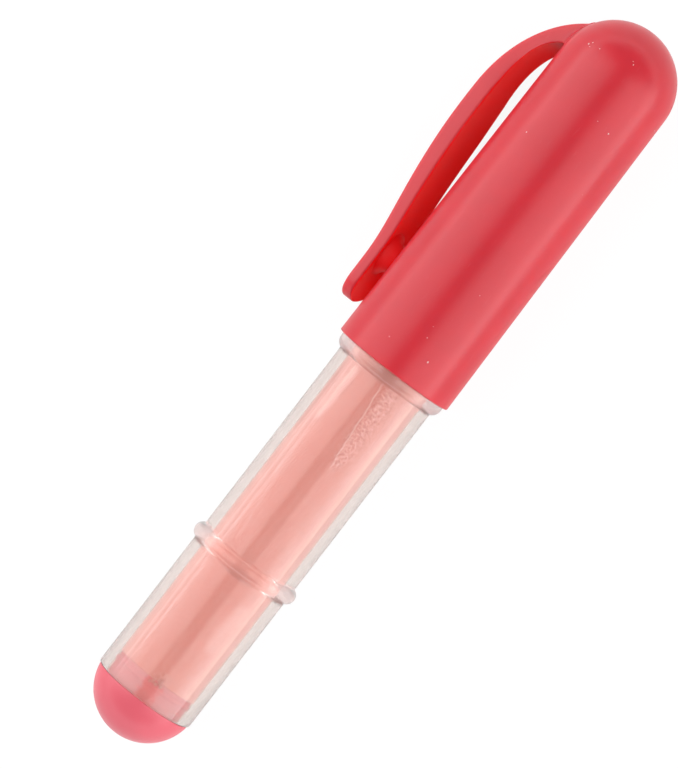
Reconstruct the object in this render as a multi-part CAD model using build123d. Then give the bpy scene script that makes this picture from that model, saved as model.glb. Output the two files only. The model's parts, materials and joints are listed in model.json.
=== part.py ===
from build123d import *
import math
import os

# Chalk wheel marker: a clear tube of chalk powder, a nose that holds a small toothed wheel, a tail plug
# for refilling, and a domed cap with a pocket clip. Sizes are in millimetres.
# The pen is built with its axis on X: the mouth of the cap is at zero, the dome points to +X, the clip
# stands out along +Y and the wheel turns about a pin along Z. place() then lays it on its clip.

# Clear barrel
barrel_radius = 6.8
barrel_wall = 1.3
barrel_length = 49.9
barrel_end_round = 0.3
neck_step = 0.3
neck_length = 9.0
neck_chamfer = 0.4
flange_height = 0.8
flange_width = 1.7
flange_land = 0.5
bead_height = 0.75
bead_width = 2.05
bead_from_tail = 20.25

# Tail plug
plug_dome_step = 0.15
plug_dome_inset = 0.8
plug_spigot_length = 3.0
plug_spigot_ease = 0.25
plug_wall = 1.2
plug_rib_width = 0.8
plug_cup_depth = 5.6

# Nose
nose_length = 20.5
nose_collar_step = 0.2
nose_collar_length = 1.5
nose_spigot_length = 4.0
nose_wall = 1.2
nose_tip_wall = 1.3
nose_tip_round = 0.7
nose_belly_height_step = 0.95
nose_belly_width_step = 1.5
funnel_start = 3.0
throat_radius = 0.95

# Toothed wheel and its pin
wheel_radius = 2.6
wheel_thickness = 0.8
wheel_edge = 0.3
wheel_bevel = 0.5
wheel_reach = 1.1
wheel_hub_radius = 1.15
wheel_recess = 0.15
tooth_count = 36
tooth_depth = 0.2
pin_radius = 0.5
pin_chamfer = 0.12

# Cradle that carries the wheel inside the nose
cradle_margin = 0.1
cheek_thickness = 0.8
cradle_back = 1.7
cradle_setback = 0.35
cradle_round = 0.35
cheek_round = 0.35

# Cap
cap_play = 0.5
cap_taper = 0.45
cap_straight = 43.6
cap_wall = 1.1
cap_rim_round = 0.25
rib_count = 6
rib_width = 0.9
rib_start = 1.2
rib_length = 7.0

# Pocket clip, with its heights given above the cap's flank
clip_width = 6.4
clip_tip_at = 3.4
clip_tip_rise = 3.35
clip_tip_thickness = 1.45
clip_tip_round = 1.1
clip_plan_round = 2.0
clip_hump_setback = 11.8
clip_hump_rise = 5.9
clip_hump_thickness = 2.35
clip_edge_round = 0.35
clip_root_ahead = 3.9
clip_root_length = 4.0
clip_root_sink = 0.5
knuckle_setback = 2.5
knuckle_radius = 1.3
nub_length = 8.2
nub_width = 4.2
nub_setback = 0.3
nub_slope = 0.8

# Clearances
fit_gap = 0.05
seat_gap = 0.05
powder_gap = 0.05
wheel_side_gap = 0.1
wheel_rim_gap = 0.12

# How far out the middle of a quarter arc lies, as a share of its radius
quarter_arc_share = math.sqrt(0.5)

# How far each curve handle of the clip reaches along its stretch
tip_flat_share = 0.11
outer_rise_shares = (0.37, 0.55)
outer_fall_shares = (0.45, 0.31)
under_rise_shares = (0.35, 0.40)
under_fall_shares = (0.46, 0.31)
outer_fall_lean = (0.5, -0.866)
under_fall_lean = (0.61, -0.79)

# Places along the axis and radii that follow from the sizes above
bore_radius = barrel_radius - barrel_wall
neck_radius = barrel_radius - neck_step
flange_radius = barrel_radius + flange_height
bead_radius = barrel_radius + bead_height
tail_end = -barrel_length
bead_at = tail_end + bead_from_tail
neck_end = neck_length
collar_end = neck_end + nose_collar_length
nose_tip = neck_end + nose_length
nose_collar_radius = neck_radius - nose_collar_step
nose_belly_height = 2 * (nose_collar_radius - nose_belly_height_step)
nose_belly_width = 2 * (nose_collar_radius - nose_belly_width_step)
nose_spigot_radius = bore_radius - fit_gap
nose_bore_radius = nose_spigot_radius - nose_wall
nose_back = neck_end - nose_spigot_length
wheel_at = nose_tip + wheel_reach - wheel_radius
wheel_sweep = wheel_radius + wheel_rim_gap
slot_width = wheel_thickness + 2 * wheel_side_gap
cradle_height = 2 * (wheel_radius + cradle_margin)
cradle_width = slot_width + 2 * cheek_thickness
nose_tip_height = cradle_height + 2 * nose_tip_wall
nose_tip_width = cradle_width + 2 * nose_tip_wall
pocket_floor = wheel_at - wheel_sweep - cradle_back
plug_front = tail_end + plug_spigot_length
plug_rib_radius = bore_radius - fit_gap
plug_spigot_radius = bore_radius - plug_spigot_ease
plug_cup_radius = plug_spigot_radius - plug_wall
plug_dome_radius = barrel_radius - plug_dome_step
plug_centre = tail_end + plug_dome_inset
tail_apex = plug_centre - plug_dome_radius
cap_bore_mouth = neck_radius + cap_play
cap_bore_shoulder = cap_bore_mouth - cap_taper
cap_mouth_radius = cap_bore_mouth + cap_wall
cap_shoulder_radius = cap_bore_shoulder + cap_wall
dome_apex = cap_straight + cap_shoulder_radius
clip_hump_at = cap_straight - clip_hump_setback
clip_root_outer = cap_straight + clip_root_ahead
clip_root_inner = clip_root_outer - clip_root_length
knuckle_at = cap_straight - knuckle_setback


def flank_radius(at):
    """Outer radius of the cap's tapered flank at a place along the axis."""
    return cap_mouth_radius + (cap_shoulder_radius - cap_mouth_radius) * at / cap_straight


def barrel():
    """Clear tube with its moulded bead, the flange that the cap seats on and the neck inside the cap."""
    bead_start = (bead_at - bead_width / 2, barrel_radius)
    bead_end = (bead_at + bead_width / 2, barrel_radius)
    with BuildPart() as part:
        with BuildSketch():
            with BuildLine():
                Polyline(
                    (neck_end, bore_radius),
                    (tail_end, bore_radius),
                    (tail_end, barrel_radius - barrel_end_round),
                )
                TangentArc(
                    (tail_end, barrel_radius - barrel_end_round),
                    (tail_end + barrel_end_round, barrel_radius),
                    tangent=(0, 1),
                )
                Line((tail_end + barrel_end_round, barrel_radius), bead_start)
                ThreePointArc(bead_start, (bead_at, bead_radius), bead_end)
                Line(bead_end, (-flange_width, barrel_radius))
                TangentArc((-flange_land, flange_radius), (-flange_width, barrel_radius), tangent=(-1, 0))
                Polyline(
                    (-flange_land, flange_radius),
                    (-seat_gap, flange_radius),
                    (-seat_gap, neck_radius),
                    (neck_end - neck_chamfer, neck_radius),
                    (neck_end, neck_radius - neck_chamfer),
                    (neck_end, bore_radius),
                )
            make_face()
        revolve(axis=Axis.X)
    return part.part


def tail_plug():
    """Domed stopper, hollow inside, with a spigot and a sealing rib in the end of the barrel."""
    rim_radius = math.sqrt(plug_dome_radius**2 - plug_dome_inset**2)
    rib_at = plug_front - plug_rib_width
    cup_floor = plug_front - plug_cup_depth
    with BuildPart() as part:
        with BuildSketch():
            with BuildLine():
                ThreePointArc(
                    (tail_apex, 0),
                    (plug_centre - plug_dome_radius * quarter_arc_share, plug_dome_radius * quarter_arc_share),
                    (tail_end, rim_radius),
                )
                Polyline(
                    (tail_end, rim_radius),
                    (tail_end, plug_spigot_radius),
                    (rib_at - plug_rib_width / 2, plug_spigot_radius),
                    (rib_at, plug_rib_radius),
                    (rib_at + plug_rib_width / 2, plug_spigot_radius),
                    (plug_front, plug_spigot_radius),
                    (plug_front, plug_cup_radius),
                    (cup_floor, plug_cup_radius),
                    (cup_floor, 0),
                    (tail_apex, 0),
                )
            make_face()
        revolve(axis=Axis.X)
    return part.part


def chalk_charge():
    """The powder: it fills the plug's cup, the barrel and the nose, and a tongue of it meets the wheel."""
    with BuildPart() as part:
        with BuildSketch():
            with BuildLine():
                Polyline(
                    (plug_front - plug_cup_depth + powder_gap, 0),
                    (plug_front - plug_cup_depth + powder_gap, plug_cup_radius - powder_gap),
                    (plug_front + powder_gap, plug_cup_radius - powder_gap),
                    (plug_front + powder_gap, bore_radius - powder_gap),
                    (nose_back - powder_gap, bore_radius - powder_gap),
                    (nose_back - powder_gap, nose_bore_radius - powder_gap),
                    (collar_end + funnel_start - powder_gap, nose_bore_radius - powder_gap),
                    (pocket_floor - powder_gap, throat_radius - powder_gap),
                    (pocket_floor - powder_gap, 0),
                    close=True,
                )
            make_face()
        revolve(axis=Axis.X)
        with BuildSketch(Plane.YZ.offset(pocket_floor - powder_gap)):
            SlotOverall(2 * (throat_radius - 2 * powder_gap), slot_width - 2 * powder_gap)
        extrude(amount=cradle_back + powder_gap)
    return part.part


def nose_cone():
    """Nose: a spigot in the barrel, a collar against its end and a beak that flattens towards the wheel."""
    beak = nose_tip - collar_end
    sections = (
        (collar_end, nose_collar_radius, nose_collar_radius),
        (collar_end + beak / 2, nose_belly_height / 2, nose_belly_width / 2),
        (nose_tip, nose_tip_height / 2, nose_tip_width / 2),
    )
    with BuildPart() as part:
        with BuildSketch():
            with BuildLine():
                Polyline(
                    (nose_back, 0),
                    (nose_back, nose_spigot_radius),
                    (neck_end, nose_spigot_radius),
                    (neck_end, nose_collar_radius),
                    (collar_end, nose_collar_radius),
                    (collar_end, 0),
                    close=True,
                )
            make_face()
        revolve(axis=Axis.X)
        for place_along, half_height, half_width in sections:
            with BuildSketch(Plane.YZ.offset(place_along)):
                Ellipse(half_height, half_width)
        loft()
        fillet(part.edges().group_by(Axis.X)[-1], nose_tip_round)
        with BuildSketch(Plane.YZ.offset(pocket_floor)):
            RectangleRounded(cradle_height + 2 * fit_gap, cradle_width + 2 * fit_gap, cradle_round)
        extrude(amount=nose_tip - pocket_floor, mode=Mode.SUBTRACT)
        with BuildSketch():
            with BuildLine():
                Polyline(
                    (nose_back, 0),
                    (nose_back, nose_bore_radius),
                    (collar_end + funnel_start, nose_bore_radius),
                    (pocket_floor, throat_radius),
                    (pocket_floor, 0),
                    close=True,
                )
            make_face()
        revolve(axis=Axis.X, mode=Mode.SUBTRACT)
    return part.part


def wheel_cradle():
    """Insert in the nose: two cheeks beside the wheel and a throat that feeds powder to its rim."""
    back = pocket_floor + fit_gap
    front = nose_tip - cradle_setback
    with BuildPart() as part:
        with BuildSketch(Plane.YZ.offset(back)):
            RectangleRounded(cradle_height, cradle_width, cradle_round)
        extrude(amount=front - back)
        with BuildSketch(Plane.XY.offset(-slot_width / 2)):
            with Locations((wheel_at, 0)):
                Circle(wheel_sweep)
                Rectangle(2 * cradle_height, 2 * wheel_sweep, align=(Align.MIN, Align.CENTER))
        extrude(amount=slot_width, mode=Mode.SUBTRACT)
        with BuildSketch(Plane.YZ.offset(back)):
            SlotOverall(2 * throat_radius, slot_width)
        extrude(amount=wheel_at - back, mode=Mode.SUBTRACT)
        with BuildSketch(Plane.XY.offset(-cradle_width)):
            with Locations((wheel_at, 0)):
                Circle(pin_radius + fit_gap)
        extrude(amount=2 * cradle_width, mode=Mode.SUBTRACT)
        cheek_corners = part.faces().sort_by(Axis.X)[-2:].edges().filter_by(Axis.Z)
        fillet(cheek_corners, cheek_round)
    return part.part


def dosing_wheel():
    """Toothed wheel: a bevelled rim cut into fine points, a thin web and a bored hub."""
    half = wheel_thickness / 2
    web = half - wheel_recess
    rim_start = wheel_radius - wheel_bevel
    with BuildPart() as part:
        with BuildSketch(Plane.XZ):
            with BuildLine():
                Polyline(
                    (pin_radius + fit_gap, -half),
                    (wheel_hub_radius, -half),
                    (wheel_hub_radius + wheel_recess, -web),
                    (rim_start - 2 * wheel_recess, -web),
                    (rim_start - wheel_recess, -half),
                    (rim_start, -half),
                    (wheel_radius, -wheel_edge / 2),
                    (wheel_radius, wheel_edge / 2),
                    (rim_start, half),
                    (rim_start - wheel_recess, half),
                    (rim_start - 2 * wheel_recess, web),
                    (wheel_hub_radius + wheel_recess, web),
                    (wheel_hub_radius, half),
                    (pin_radius + fit_gap, half),
                    close=True,
                )
            make_face()
        revolve(axis=Axis.Z)
        with BuildSketch(Plane.XY.offset(-half)):
            with BuildLine():
                Polyline(*tooth_points(), close=True)
            make_face()
        extrude(amount=wheel_thickness, mode=Mode.INTERSECT)
    return Pos(wheel_at, 0, 0) * part.part


def tooth_points():
    """Points of the toothed outline, by turns at a tooth's tip and at the root between two teeth."""
    points = []
    for step in range(2 * tooth_count):
        turn = math.pi * step / tooth_count
        reach = wheel_radius - tooth_depth * (step % 2)
        points.append((reach * math.cos(turn), reach * math.sin(turn)))
    return points


def axle_pin():
    """Pin across the cradle, as long as the cradle is wide, so the walls of the nose keep it in."""
    with BuildPart() as part:
        with Locations((wheel_at, 0, 0)):
            Cylinder(pin_radius, cradle_width)
        chamfer(part.edges().filter_by(GeomType.CIRCLE), pin_chamfer)
    return part.part


def curve_between(start, end, start_lean, end_lean, shares):
    """Smooth curve whose two handles lie along the given directions, as shares of its length along X."""
    length = end[0] - start[0]
    first = (start[0] + start_lean[0] * shares[0] * length, start[1] + start_lean[1] * shares[0] * length)
    second = (end[0] - end_lean[0] * shares[1] * length, end[1] - end_lean[1] * shares[1] * length)
    return Bezier(start, first, second, end)


def strap_outline():
    """Side view of the whole clip, from its tip, over the hump and down into the dome."""
    tip_outer = flank_radius(clip_tip_at) + clip_tip_rise
    tip_inner = tip_outer - clip_tip_thickness
    hump_outer = flank_radius(clip_hump_at) + clip_hump_rise
    hump_inner = hump_outer - clip_hump_thickness
    flat_end = clip_tip_at + tip_flat_share * (clip_hump_at - clip_tip_at)
    under_end = clip_tip_at + nub_length
    over_dome = clip_root_outer - cap_straight
    root_outer = math.sqrt(cap_shoulder_radius**2 - over_dome**2) - clip_root_sink
    root_inner = cap_shoulder_radius - clip_root_sink / 2
    buried = root_inner - 2 * cap_wall
    with BuildSketch() as side:
        with BuildLine():
            TangentArc(
                (clip_tip_at, tip_outer - clip_tip_round),
                (clip_tip_at + clip_tip_round, tip_outer),
                tangent=(0, 1),
            )
            Line((clip_tip_at + clip_tip_round, tip_outer), (flat_end, tip_outer))
            curve_between(
                (flat_end, tip_outer), (clip_hump_at, hump_outer), (1, 0), (1, 0), outer_rise_shares
            )
            curve_between(
                (clip_hump_at, hump_outer),
                (clip_root_outer, root_outer),
                (1, 0),
                outer_fall_lean,
                outer_fall_shares,
            )
            Polyline(
                (clip_root_outer, root_outer),
                (clip_root_outer, buried),
                (clip_root_inner, buried),
                (clip_root_inner, root_inner),
            )
            curve_between(
                (clip_hump_at, hump_inner),
                (clip_root_inner, root_inner),
                (1, 0),
                under_fall_lean,
                under_fall_shares,
            )
            curve_between(
                (under_end, tip_inner), (clip_hump_at, hump_inner), (1, 0), (1, 0), under_rise_shares
            )
            Polyline(
                (under_end, tip_inner), (clip_tip_at, tip_inner), (clip_tip_at, tip_outer - clip_tip_round)
            )
        make_face()
    return side.sketch


def strap_middle(at):
    """Middle of the clip's thickness at a place along the axis."""
    reach = Line((at, 0), (at, 2 * (cap_mouth_radius + clip_hump_rise)))
    crossing = strap_outline().face().intersect(reach).edges()[0]
    return crossing.center()


def clip_side(ease):
    """The part of the side view that flexes: all that lies before the knuckle, and the knuckle itself."""
    knuckle = strap_middle(knuckle_at)
    ahead = strap_middle(knuckle_at + knuckle_radius / 2)
    lean = math.degrees(math.atan2(ahead.Y - knuckle.Y, ahead.X - knuckle.X))
    before = Rectangle(2 * cap_straight, 2 * cap_straight, align=(Align.MAX, Align.CENTER), rotation=lean)
    return Pos(knuckle) * (before + Circle(knuckle_radius + ease))


def whole_clip():
    """Strap from its tip to its root in the dome, with softened edges and a tip rounded in plan."""
    strap = extrude(Pos(0, 0, -clip_width / 2) * strap_outline(), clip_width)
    side_edges = strap.faces().filter_by(Axis.Z).edges()
    free_edges = side_edges.filter_by(lambda edge: edge.center().Y > cap_mouth_radius)
    strap = fillet(free_edges, clip_edge_round)
    plan = Pos(clip_tip_at, 0) * Rectangle(cap_straight, clip_width, align=(Align.MIN, Align.CENTER))
    plan = fillet(plan.vertices().group_by(Axis.X)[0], clip_plan_round)
    return strap & extrude(Plane.XZ * plan, 4 * cap_mouth_radius, both=True)


def pocket_clip():
    """Clip: a curved strap with a rounded tip, a nub under the tip and a knuckle at its root."""
    flexing = extrude(clip_side(0), clip_width, both=True)
    return (whole_clip() & flexing) + clip_nub()


def clip_nub():
    """Pad under the clip's tip that presses cloth against the cap."""
    top = flank_radius(clip_tip_at) + clip_tip_rise - clip_tip_thickness
    low = cap_mouth_radius + seat_gap
    front = clip_tip_at + nub_setback
    back = clip_tip_at + nub_length
    with BuildPart() as part:
        with BuildSketch(Plane.XY.offset(-nub_width / 2)):
            with BuildLine():
                Polyline(
                    (front, top + clip_tip_thickness / 2),
                    (back, top + clip_tip_thickness / 2),
                    (back, top),
                    (back - nub_slope, low),
                    (front + nub_slope, low),
                    (front, top),
                    close=True,
                )
            make_face()
        extrude(amount=nub_width)
    return part.part


def cap_outline(mouth, shoulder, rim_round):
    """Half section of a tapered tube closed by a dome, from the mouth to the apex."""
    with BuildSketch() as half:
        with BuildLine():
            Line((0, 0), (0, mouth - rim_round))
            if rim_round:
                TangentArc((0, mouth - rim_round), (rim_round, mouth), tangent=(0, 1))
            Line((rim_round, mouth), (cap_straight, shoulder))
            ThreePointArc(
                (cap_straight, shoulder),
                (cap_straight + shoulder * quarter_arc_share, shoulder * quarter_arc_share),
                (cap_straight + shoulder, 0),
            )
            Line((cap_straight + shoulder, 0), (0, 0))
        make_face()
    return half.sketch


def cap_shell():
    """Cap: a tapered, domed shell with grip ribs inside and the root of the clip on its shoulder."""
    shell = revolve(cap_outline(cap_mouth_radius, cap_shoulder_radius, cap_rim_round), Axis.X)
    shell += whole_clip() - extrude(clip_side(fit_gap), clip_width, both=True)
    shell -= revolve(cap_outline(cap_bore_mouth, cap_bore_shoulder, 0), Axis.X)
    rib_reach = cap_bore_mouth + cap_wall / 2
    rib = Pos(rib_start + rib_length / 2, 0, 0) * Box(rib_length, rib_width, 2 * rib_reach)
    for step in range(rib_count // 2):
        shell += Rot(X=180 * step / (rib_count // 2)) * rib
    grip = Pos(rib_start + rib_length / 2, 0, 0) * Rot(Y=90) * Cylinder(neck_radius + fit_gap, rib_length)
    return shell - grip


def clip_corner():
    """Centre of the clip's rounded outer edge at its hump, as its height and its distance sideways."""
    height = flank_radius(clip_hump_at) + clip_hump_rise - clip_edge_round
    return height, clip_width / 2 - clip_edge_round


def clip_dip():
    """Angle of the clip below the horizontal when the pen lies on the cap's rim and the clip's edge."""
    height, side = clip_corner()
    drop = (cap_mouth_radius - clip_edge_round) / math.hypot(height, side)
    return math.degrees(math.asin(drop) - math.atan2(side, height))


def place(solid):
    """Lay the pen down: clip turned down to the surface, the whole centred over the origin."""
    dip = math.radians(clip_dip())
    height, side = clip_corner()
    far_side = height * math.cos(dip) + side * math.sin(dip) + clip_edge_round
    middle = Vector((dome_apex + tail_apex) / 2, (far_side - cap_mouth_radius) / 2, -cap_mouth_radius)
    return Location(-middle) * Rot(X=-clip_dip()) * solid


pieces = {
    "barrel": barrel,
    "chalk_charge": chalk_charge,
    "tail_plug": tail_plug,
    "nose_cone": nose_cone,
    "wheel_cradle": wheel_cradle,
    "dosing_wheel": dosing_wheel,
    "axle_pin": axle_pin,
    "cap_shell": cap_shell,
    "pocket_clip": pocket_clip,
}

os.makedirs("parts", exist_ok=True)
for node, build in pieces.items():
    export_step(place(build()), f"parts/{node}.step")
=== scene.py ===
import json
from math import acos, asin, atan2, cos, degrees, hypot, pi, radians, sin, sqrt

import bmesh
import bpy
from bpy.props import FloatProperty, FloatVectorProperty, IntProperty, PointerProperty
from bpy.types import Operator, Panel, PropertyGroup
from mathutils import Matrix, Vector, noise


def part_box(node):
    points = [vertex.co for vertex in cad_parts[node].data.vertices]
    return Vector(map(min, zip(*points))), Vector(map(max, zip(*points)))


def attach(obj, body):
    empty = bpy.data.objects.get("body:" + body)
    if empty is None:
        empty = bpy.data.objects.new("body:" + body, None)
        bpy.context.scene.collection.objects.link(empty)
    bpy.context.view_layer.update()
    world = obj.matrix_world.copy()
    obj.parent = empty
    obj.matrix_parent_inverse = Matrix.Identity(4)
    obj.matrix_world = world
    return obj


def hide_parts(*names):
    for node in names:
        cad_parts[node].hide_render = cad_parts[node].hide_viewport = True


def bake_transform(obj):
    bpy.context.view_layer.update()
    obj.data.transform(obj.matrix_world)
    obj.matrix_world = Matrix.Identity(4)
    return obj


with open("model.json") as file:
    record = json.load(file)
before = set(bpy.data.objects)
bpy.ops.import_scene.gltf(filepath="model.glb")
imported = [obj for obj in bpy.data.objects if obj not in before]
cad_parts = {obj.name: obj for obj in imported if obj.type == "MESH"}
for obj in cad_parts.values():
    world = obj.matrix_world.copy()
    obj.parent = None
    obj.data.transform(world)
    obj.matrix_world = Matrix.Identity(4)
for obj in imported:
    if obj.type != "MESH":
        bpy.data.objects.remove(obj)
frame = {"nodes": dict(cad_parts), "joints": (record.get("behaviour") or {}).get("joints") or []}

# Chalk wheel marker: a capped pen with a clear tube of pink chalk powder, lying on a white table.
# Every length is in metres in the frame of the packed model. The pen's axis runs along X.

bl_info = {
    "name": "Chalk wheel marker",
    "version": (1, 0, 0),
    "blender": (4, 5, 0),
    "location": "View3D > Sidebar > Chalk marker",
    "description": "Dresses the packed chalk wheel marker with its finished surfaces and a studio stage",
    "category": "Object",
}

MM = 0.001
SPIGOT_MM = 3.0
POLE = 1e-7
CREASE = radians(38)

# Places and directions that come from the packed model
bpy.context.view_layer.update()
BARREL_LOW, BARREL_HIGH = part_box("barrel")
CAP_LOW, CAP_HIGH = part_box("cap_shell")
CHALK_LOW, CHALK_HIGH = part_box("chalk_charge")
PLUG_LOW, PLUG_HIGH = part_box("tail_plug")
JOINTS = {joint["name"]: joint for joint in frame["joints"]}
AXIS_Y = (BARREL_LOW.y + BARREL_HIGH.y) / 2
AXIS_Z = (BARREL_LOW.z + BARREL_HIGH.z) / 2
TAIL_END = PLUG_HIGH.x - SPIGOT_MM * MM
NECK_END = BARREL_HIGH.x
MOUTH = CAP_LOW.x
DOME_APEX = CAP_HIGH.x
FLANGE_RADIUS = (BARREL_HIGH.z - BARREL_LOW.z) / 2
CAP_MOUTH_RADIUS = AXIS_Z - CAP_LOW.z
CHALK_RADIUS = (CHALK_HIGH.z - CHALK_LOW.z) / 2
PIN_WAY = Vector(JOINTS["wheel_spin"]["axis"]).normalized()
WHEEL_CENTRE = Vector(JOINTS["wheel_spin"]["pos_m"])
CLIP_WAY = PIN_WAY.cross(Vector((1, 0, 0)))


# Properties

def length(name, text, millimetres):
    """A length that a user can change."""
    return FloatProperty(
        name=name, description=text, default=millimetres * MM, min=0.0, precision=5, unit="LENGTH"
    )


def stage_length(name, text, metres):
    """A length of the stage, given in metres."""
    return length(name, text, metres / MM)


def share(name, text, value):
    """A share from nothing to all."""
    return FloatProperty(name=name, description=text, default=value, min=0.0, max=1.0, subtype="FACTOR")


def amount(name, text, value):
    """A plain number."""
    return FloatProperty(name=name, description=text, default=value, min=0.0)


def colour(name, text, value):
    """A linear colour."""
    return FloatVectorProperty(
        name=name, description=text, default=value, min=0.0, max=1.0, size=3, subtype="COLOR"
    )


def count(name, text, value):
    """A whole number of like things."""
    return IntProperty(name=name, description=text, default=value, min=1)


class TubeLook(PropertyGroup):
    """Clear barrel with its bead, flange and neck."""

    radius: length("Radius", "Outer radius of the clear tube", 6.8)
    wall: length("Wall", "Thickness of the tube's wall", 1.3)
    end_round: length("End round", "Rounding of the tube's tail edge", 0.3)
    inner_round: length("Inner round", "Rounding of the bore's edge", 0.15)
    bead_from_tail: length("Bead place", "Distance from the tail end to the middle of the bead", 20.25)
    bead_height: length("Bead height", "How far the moulded bead stands out", 0.75)
    bead_width: length("Bead width", "Width of the bead where it meets the tube", 2.05)
    bead_root: length("Bead root", "Softness of the corner beside the bead", 0.08)
    flange_width: length("Flange width", "Length of the flange before the cap's mouth", 1.7)
    flange_land: length("Flange land", "Straight part of the flange's edge", 0.5)
    flange_round: length("Flange round", "Rounding of the flange's edge", 0.12)
    neck_step: length("Neck step", "How much slimmer the neck is than the tube", 0.3)
    neck_chamfer: length("Neck chamfer", "Bevel at the end of the neck", 0.4)
    seat: length("Seat", "Gap between the flange and the cap's rim", 0.05)
    seam_height: length("Mould line height", "How far the mould line stands out", 0.035)
    seam_turn: amount("Mould line angle", "Angle of the mould line from the top, in degrees", 30.8)
    wave_height: length("Wave height", "Height of the slow waves on the moulded skin", 0.008)
    soften: share("Softness", "How much the sides of the bead and flange let through unbent", 0.5)
    sides: count("Sides", "Faces round the tube", 320)
    tint: colour("Tint", "Colour of the clear plastic", (0.83, 0.74, 0.7))
    clarity: share("Clarity", "How much of the plastic is clear and not milky", 0.9)
    roughness: share("Roughness", "Roughness of the polished plastic", 0.035)


class ChalkLook(PropertyGroup):
    """The powder and its loose grains."""

    wall: length("Nose wall", "Thickness of the nose's spigot round the powder", 1.2)
    gap: length("Gap", "Room round the powder", 0.05)
    grain: length("Grain", "Height of the powder's grain", 0.014)
    swell: length("Swell", "Height of the powder's slow unevenness", 0.03)
    sides: count("Sides", "Faces round the powder", 288)
    rings: count("Rings", "Rings along the powder", 300)
    powder: colour("Powder", "Colour of the packed powder", (0.76, 0.18, 0.125))
    # This pale tone is the powder film on the wall, and also painted light: the paler sides, the crumbs' tops
    # and the thin highlight lines
    film_and_light_tone: colour("Haze", "Colour of the thin powder film on the wall", (1.0, 0.62, 0.6))
    # Painted shade: this colour darkens the grain's low spots, the crumbled patches, the marked hollows and
    # the tail crumbs
    powder_shade: colour("Deep", "Colour in the powder's hollows", (0.55, 0.1, 0.065))
    crumbs: count("Crumbs", "Loose crumbs on the powder's surface", 260)
    crumb_size: length("Crumb size", "Radius of the largest crumb", 0.085)
    crumb_start: length("Crumb start", "Bare stretch in front of the plug", 0.2)
    crumb_end: length("Crumb end", "Bare stretch behind the cap's mouth", 0.5)
    crumb_depth: length("Crumb depth", "How far below its skin the powder still carries crumbs", 0.2)
    cling: length("Cling", "How far inside the powder's skin the clinging crumbs have their middles", 0.06)
    skin_height: length("Skin height", "Height of the finest unevenness", 0.03)
    mark_depth: length("Mark depth", "Depth of the hollows and crumbled patches", 0.03)
    funnel_at: length("Funnel place", "Distance from the end of the neck to the funnel in the nose", 4.4)
    throat_radius: length("Throat radius", "Radius of the powder in the throat", 0.85)


class StopperLook(PropertyGroup):
    """Red domed plug in the tail."""

    dome_step: length("Dome step", "How much smaller the dome's radius is than the tube's", 0.15)
    dome_inset: length("Dome inset", "How far the dome's centre lies inside the tube", 0.8)
    spigot: length("Spigot", "Length of the spigot in the tube", SPIGOT_MM)
    ease: length("Ease", "Room between the spigot and the bore", 0.25)
    fit: length("Fit", "Room between the sealing rib and the bore", 0.05)
    wall: length("Wall", "Thickness of the spigot", 1.2)
    rib_width: length("Rib width", "Width of the sealing rib", 0.8)
    cup_depth: length("Cup depth", "Depth of the hollow inside the plug", 5.6)
    edge: length("Edge", "Rounding of the dome's rim", 0.12)
    sides: count("Sides", "Faces round the plug", 192)
    plastic: colour("Plastic", "Colour of the plug", (0.76, 0.115, 0.155))
    dusted: colour("Dusted", "Colour of the spigot under its powder film", (0.75, 0.13, 0.165))
    bare: colour("Bare", "Colour of the spigot where the powder has come off", (0.85, 0.035, 0.045))
    roughness: share("Roughness", "Roughness of the plug", 0.3)
    peel: length("Peel", "Height of the orange-peel skin", 0.005)


class CapLook(PropertyGroup):
    """Domed cap with grip ribs inside."""

    wall: length("Wall", "Thickness of the cap's wall", 1.1)
    taper: length("Taper", "How much slimmer the cap is at its shoulder than at its mouth", 0.45)
    rim_round: length("Rim round", "Rounding of the cap's rim", 0.18)
    inner_round: length("Inner round", "Rounding of the bore's edge", 0.2)
    sides: count("Sides", "Faces round the cap", 256)
    ribs: count("Ribs", "Grip ribs inside the mouth", 6)
    rib_width: length("Rib width", "Width of a grip rib", 0.9)
    rib_start: length("Rib start", "Distance from the mouth to the ribs", 1.2)
    rib_length: length("Rib length", "Length of a grip rib", 7.0)
    plastic: colour("Plastic", "Colour of the cap and its clip", (0.62, 0.02, 0.036))
    roughness: share("Roughness", "Roughness of the moulded plastic", 0.27)
    peel: length("Peel", "Height of the orange-peel skin", 0.004)
    glow: share("Glow", "How much light enters the cap's plastic", 0.5)
    glow_depth: length("Glow depth", "How far light goes in the plastic", 2.5)
    # Painted light: the clip's inner face takes this warmer base colour and a faint red emission, which stand
    # in for light coming through the thin clip
    painted_glow_tone: colour("Warm", "Colour of the clip's inner face, where light goes to and fro", (0.9, 0.02, 0.018))
    painted_glow: colour("Lit through", "Light that comes through the clip to its inner face", (0.17, 0.0, 0.0))
    specks: count("Specks", "Dust specks on the cap", 18)
    speck_size: length("Speck size", "Radius of the largest dust speck", 0.08)
    speck_start: length("Speck start", "Clean stretch behind the mouth", 0.5)
    speck_end: length("Speck end", "Clean stretch at the tip of the dome", 2.0)
    speck_depth: length("Speck depth", "How far below the shoulder's skin a face still carries specks", 1.0)


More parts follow.
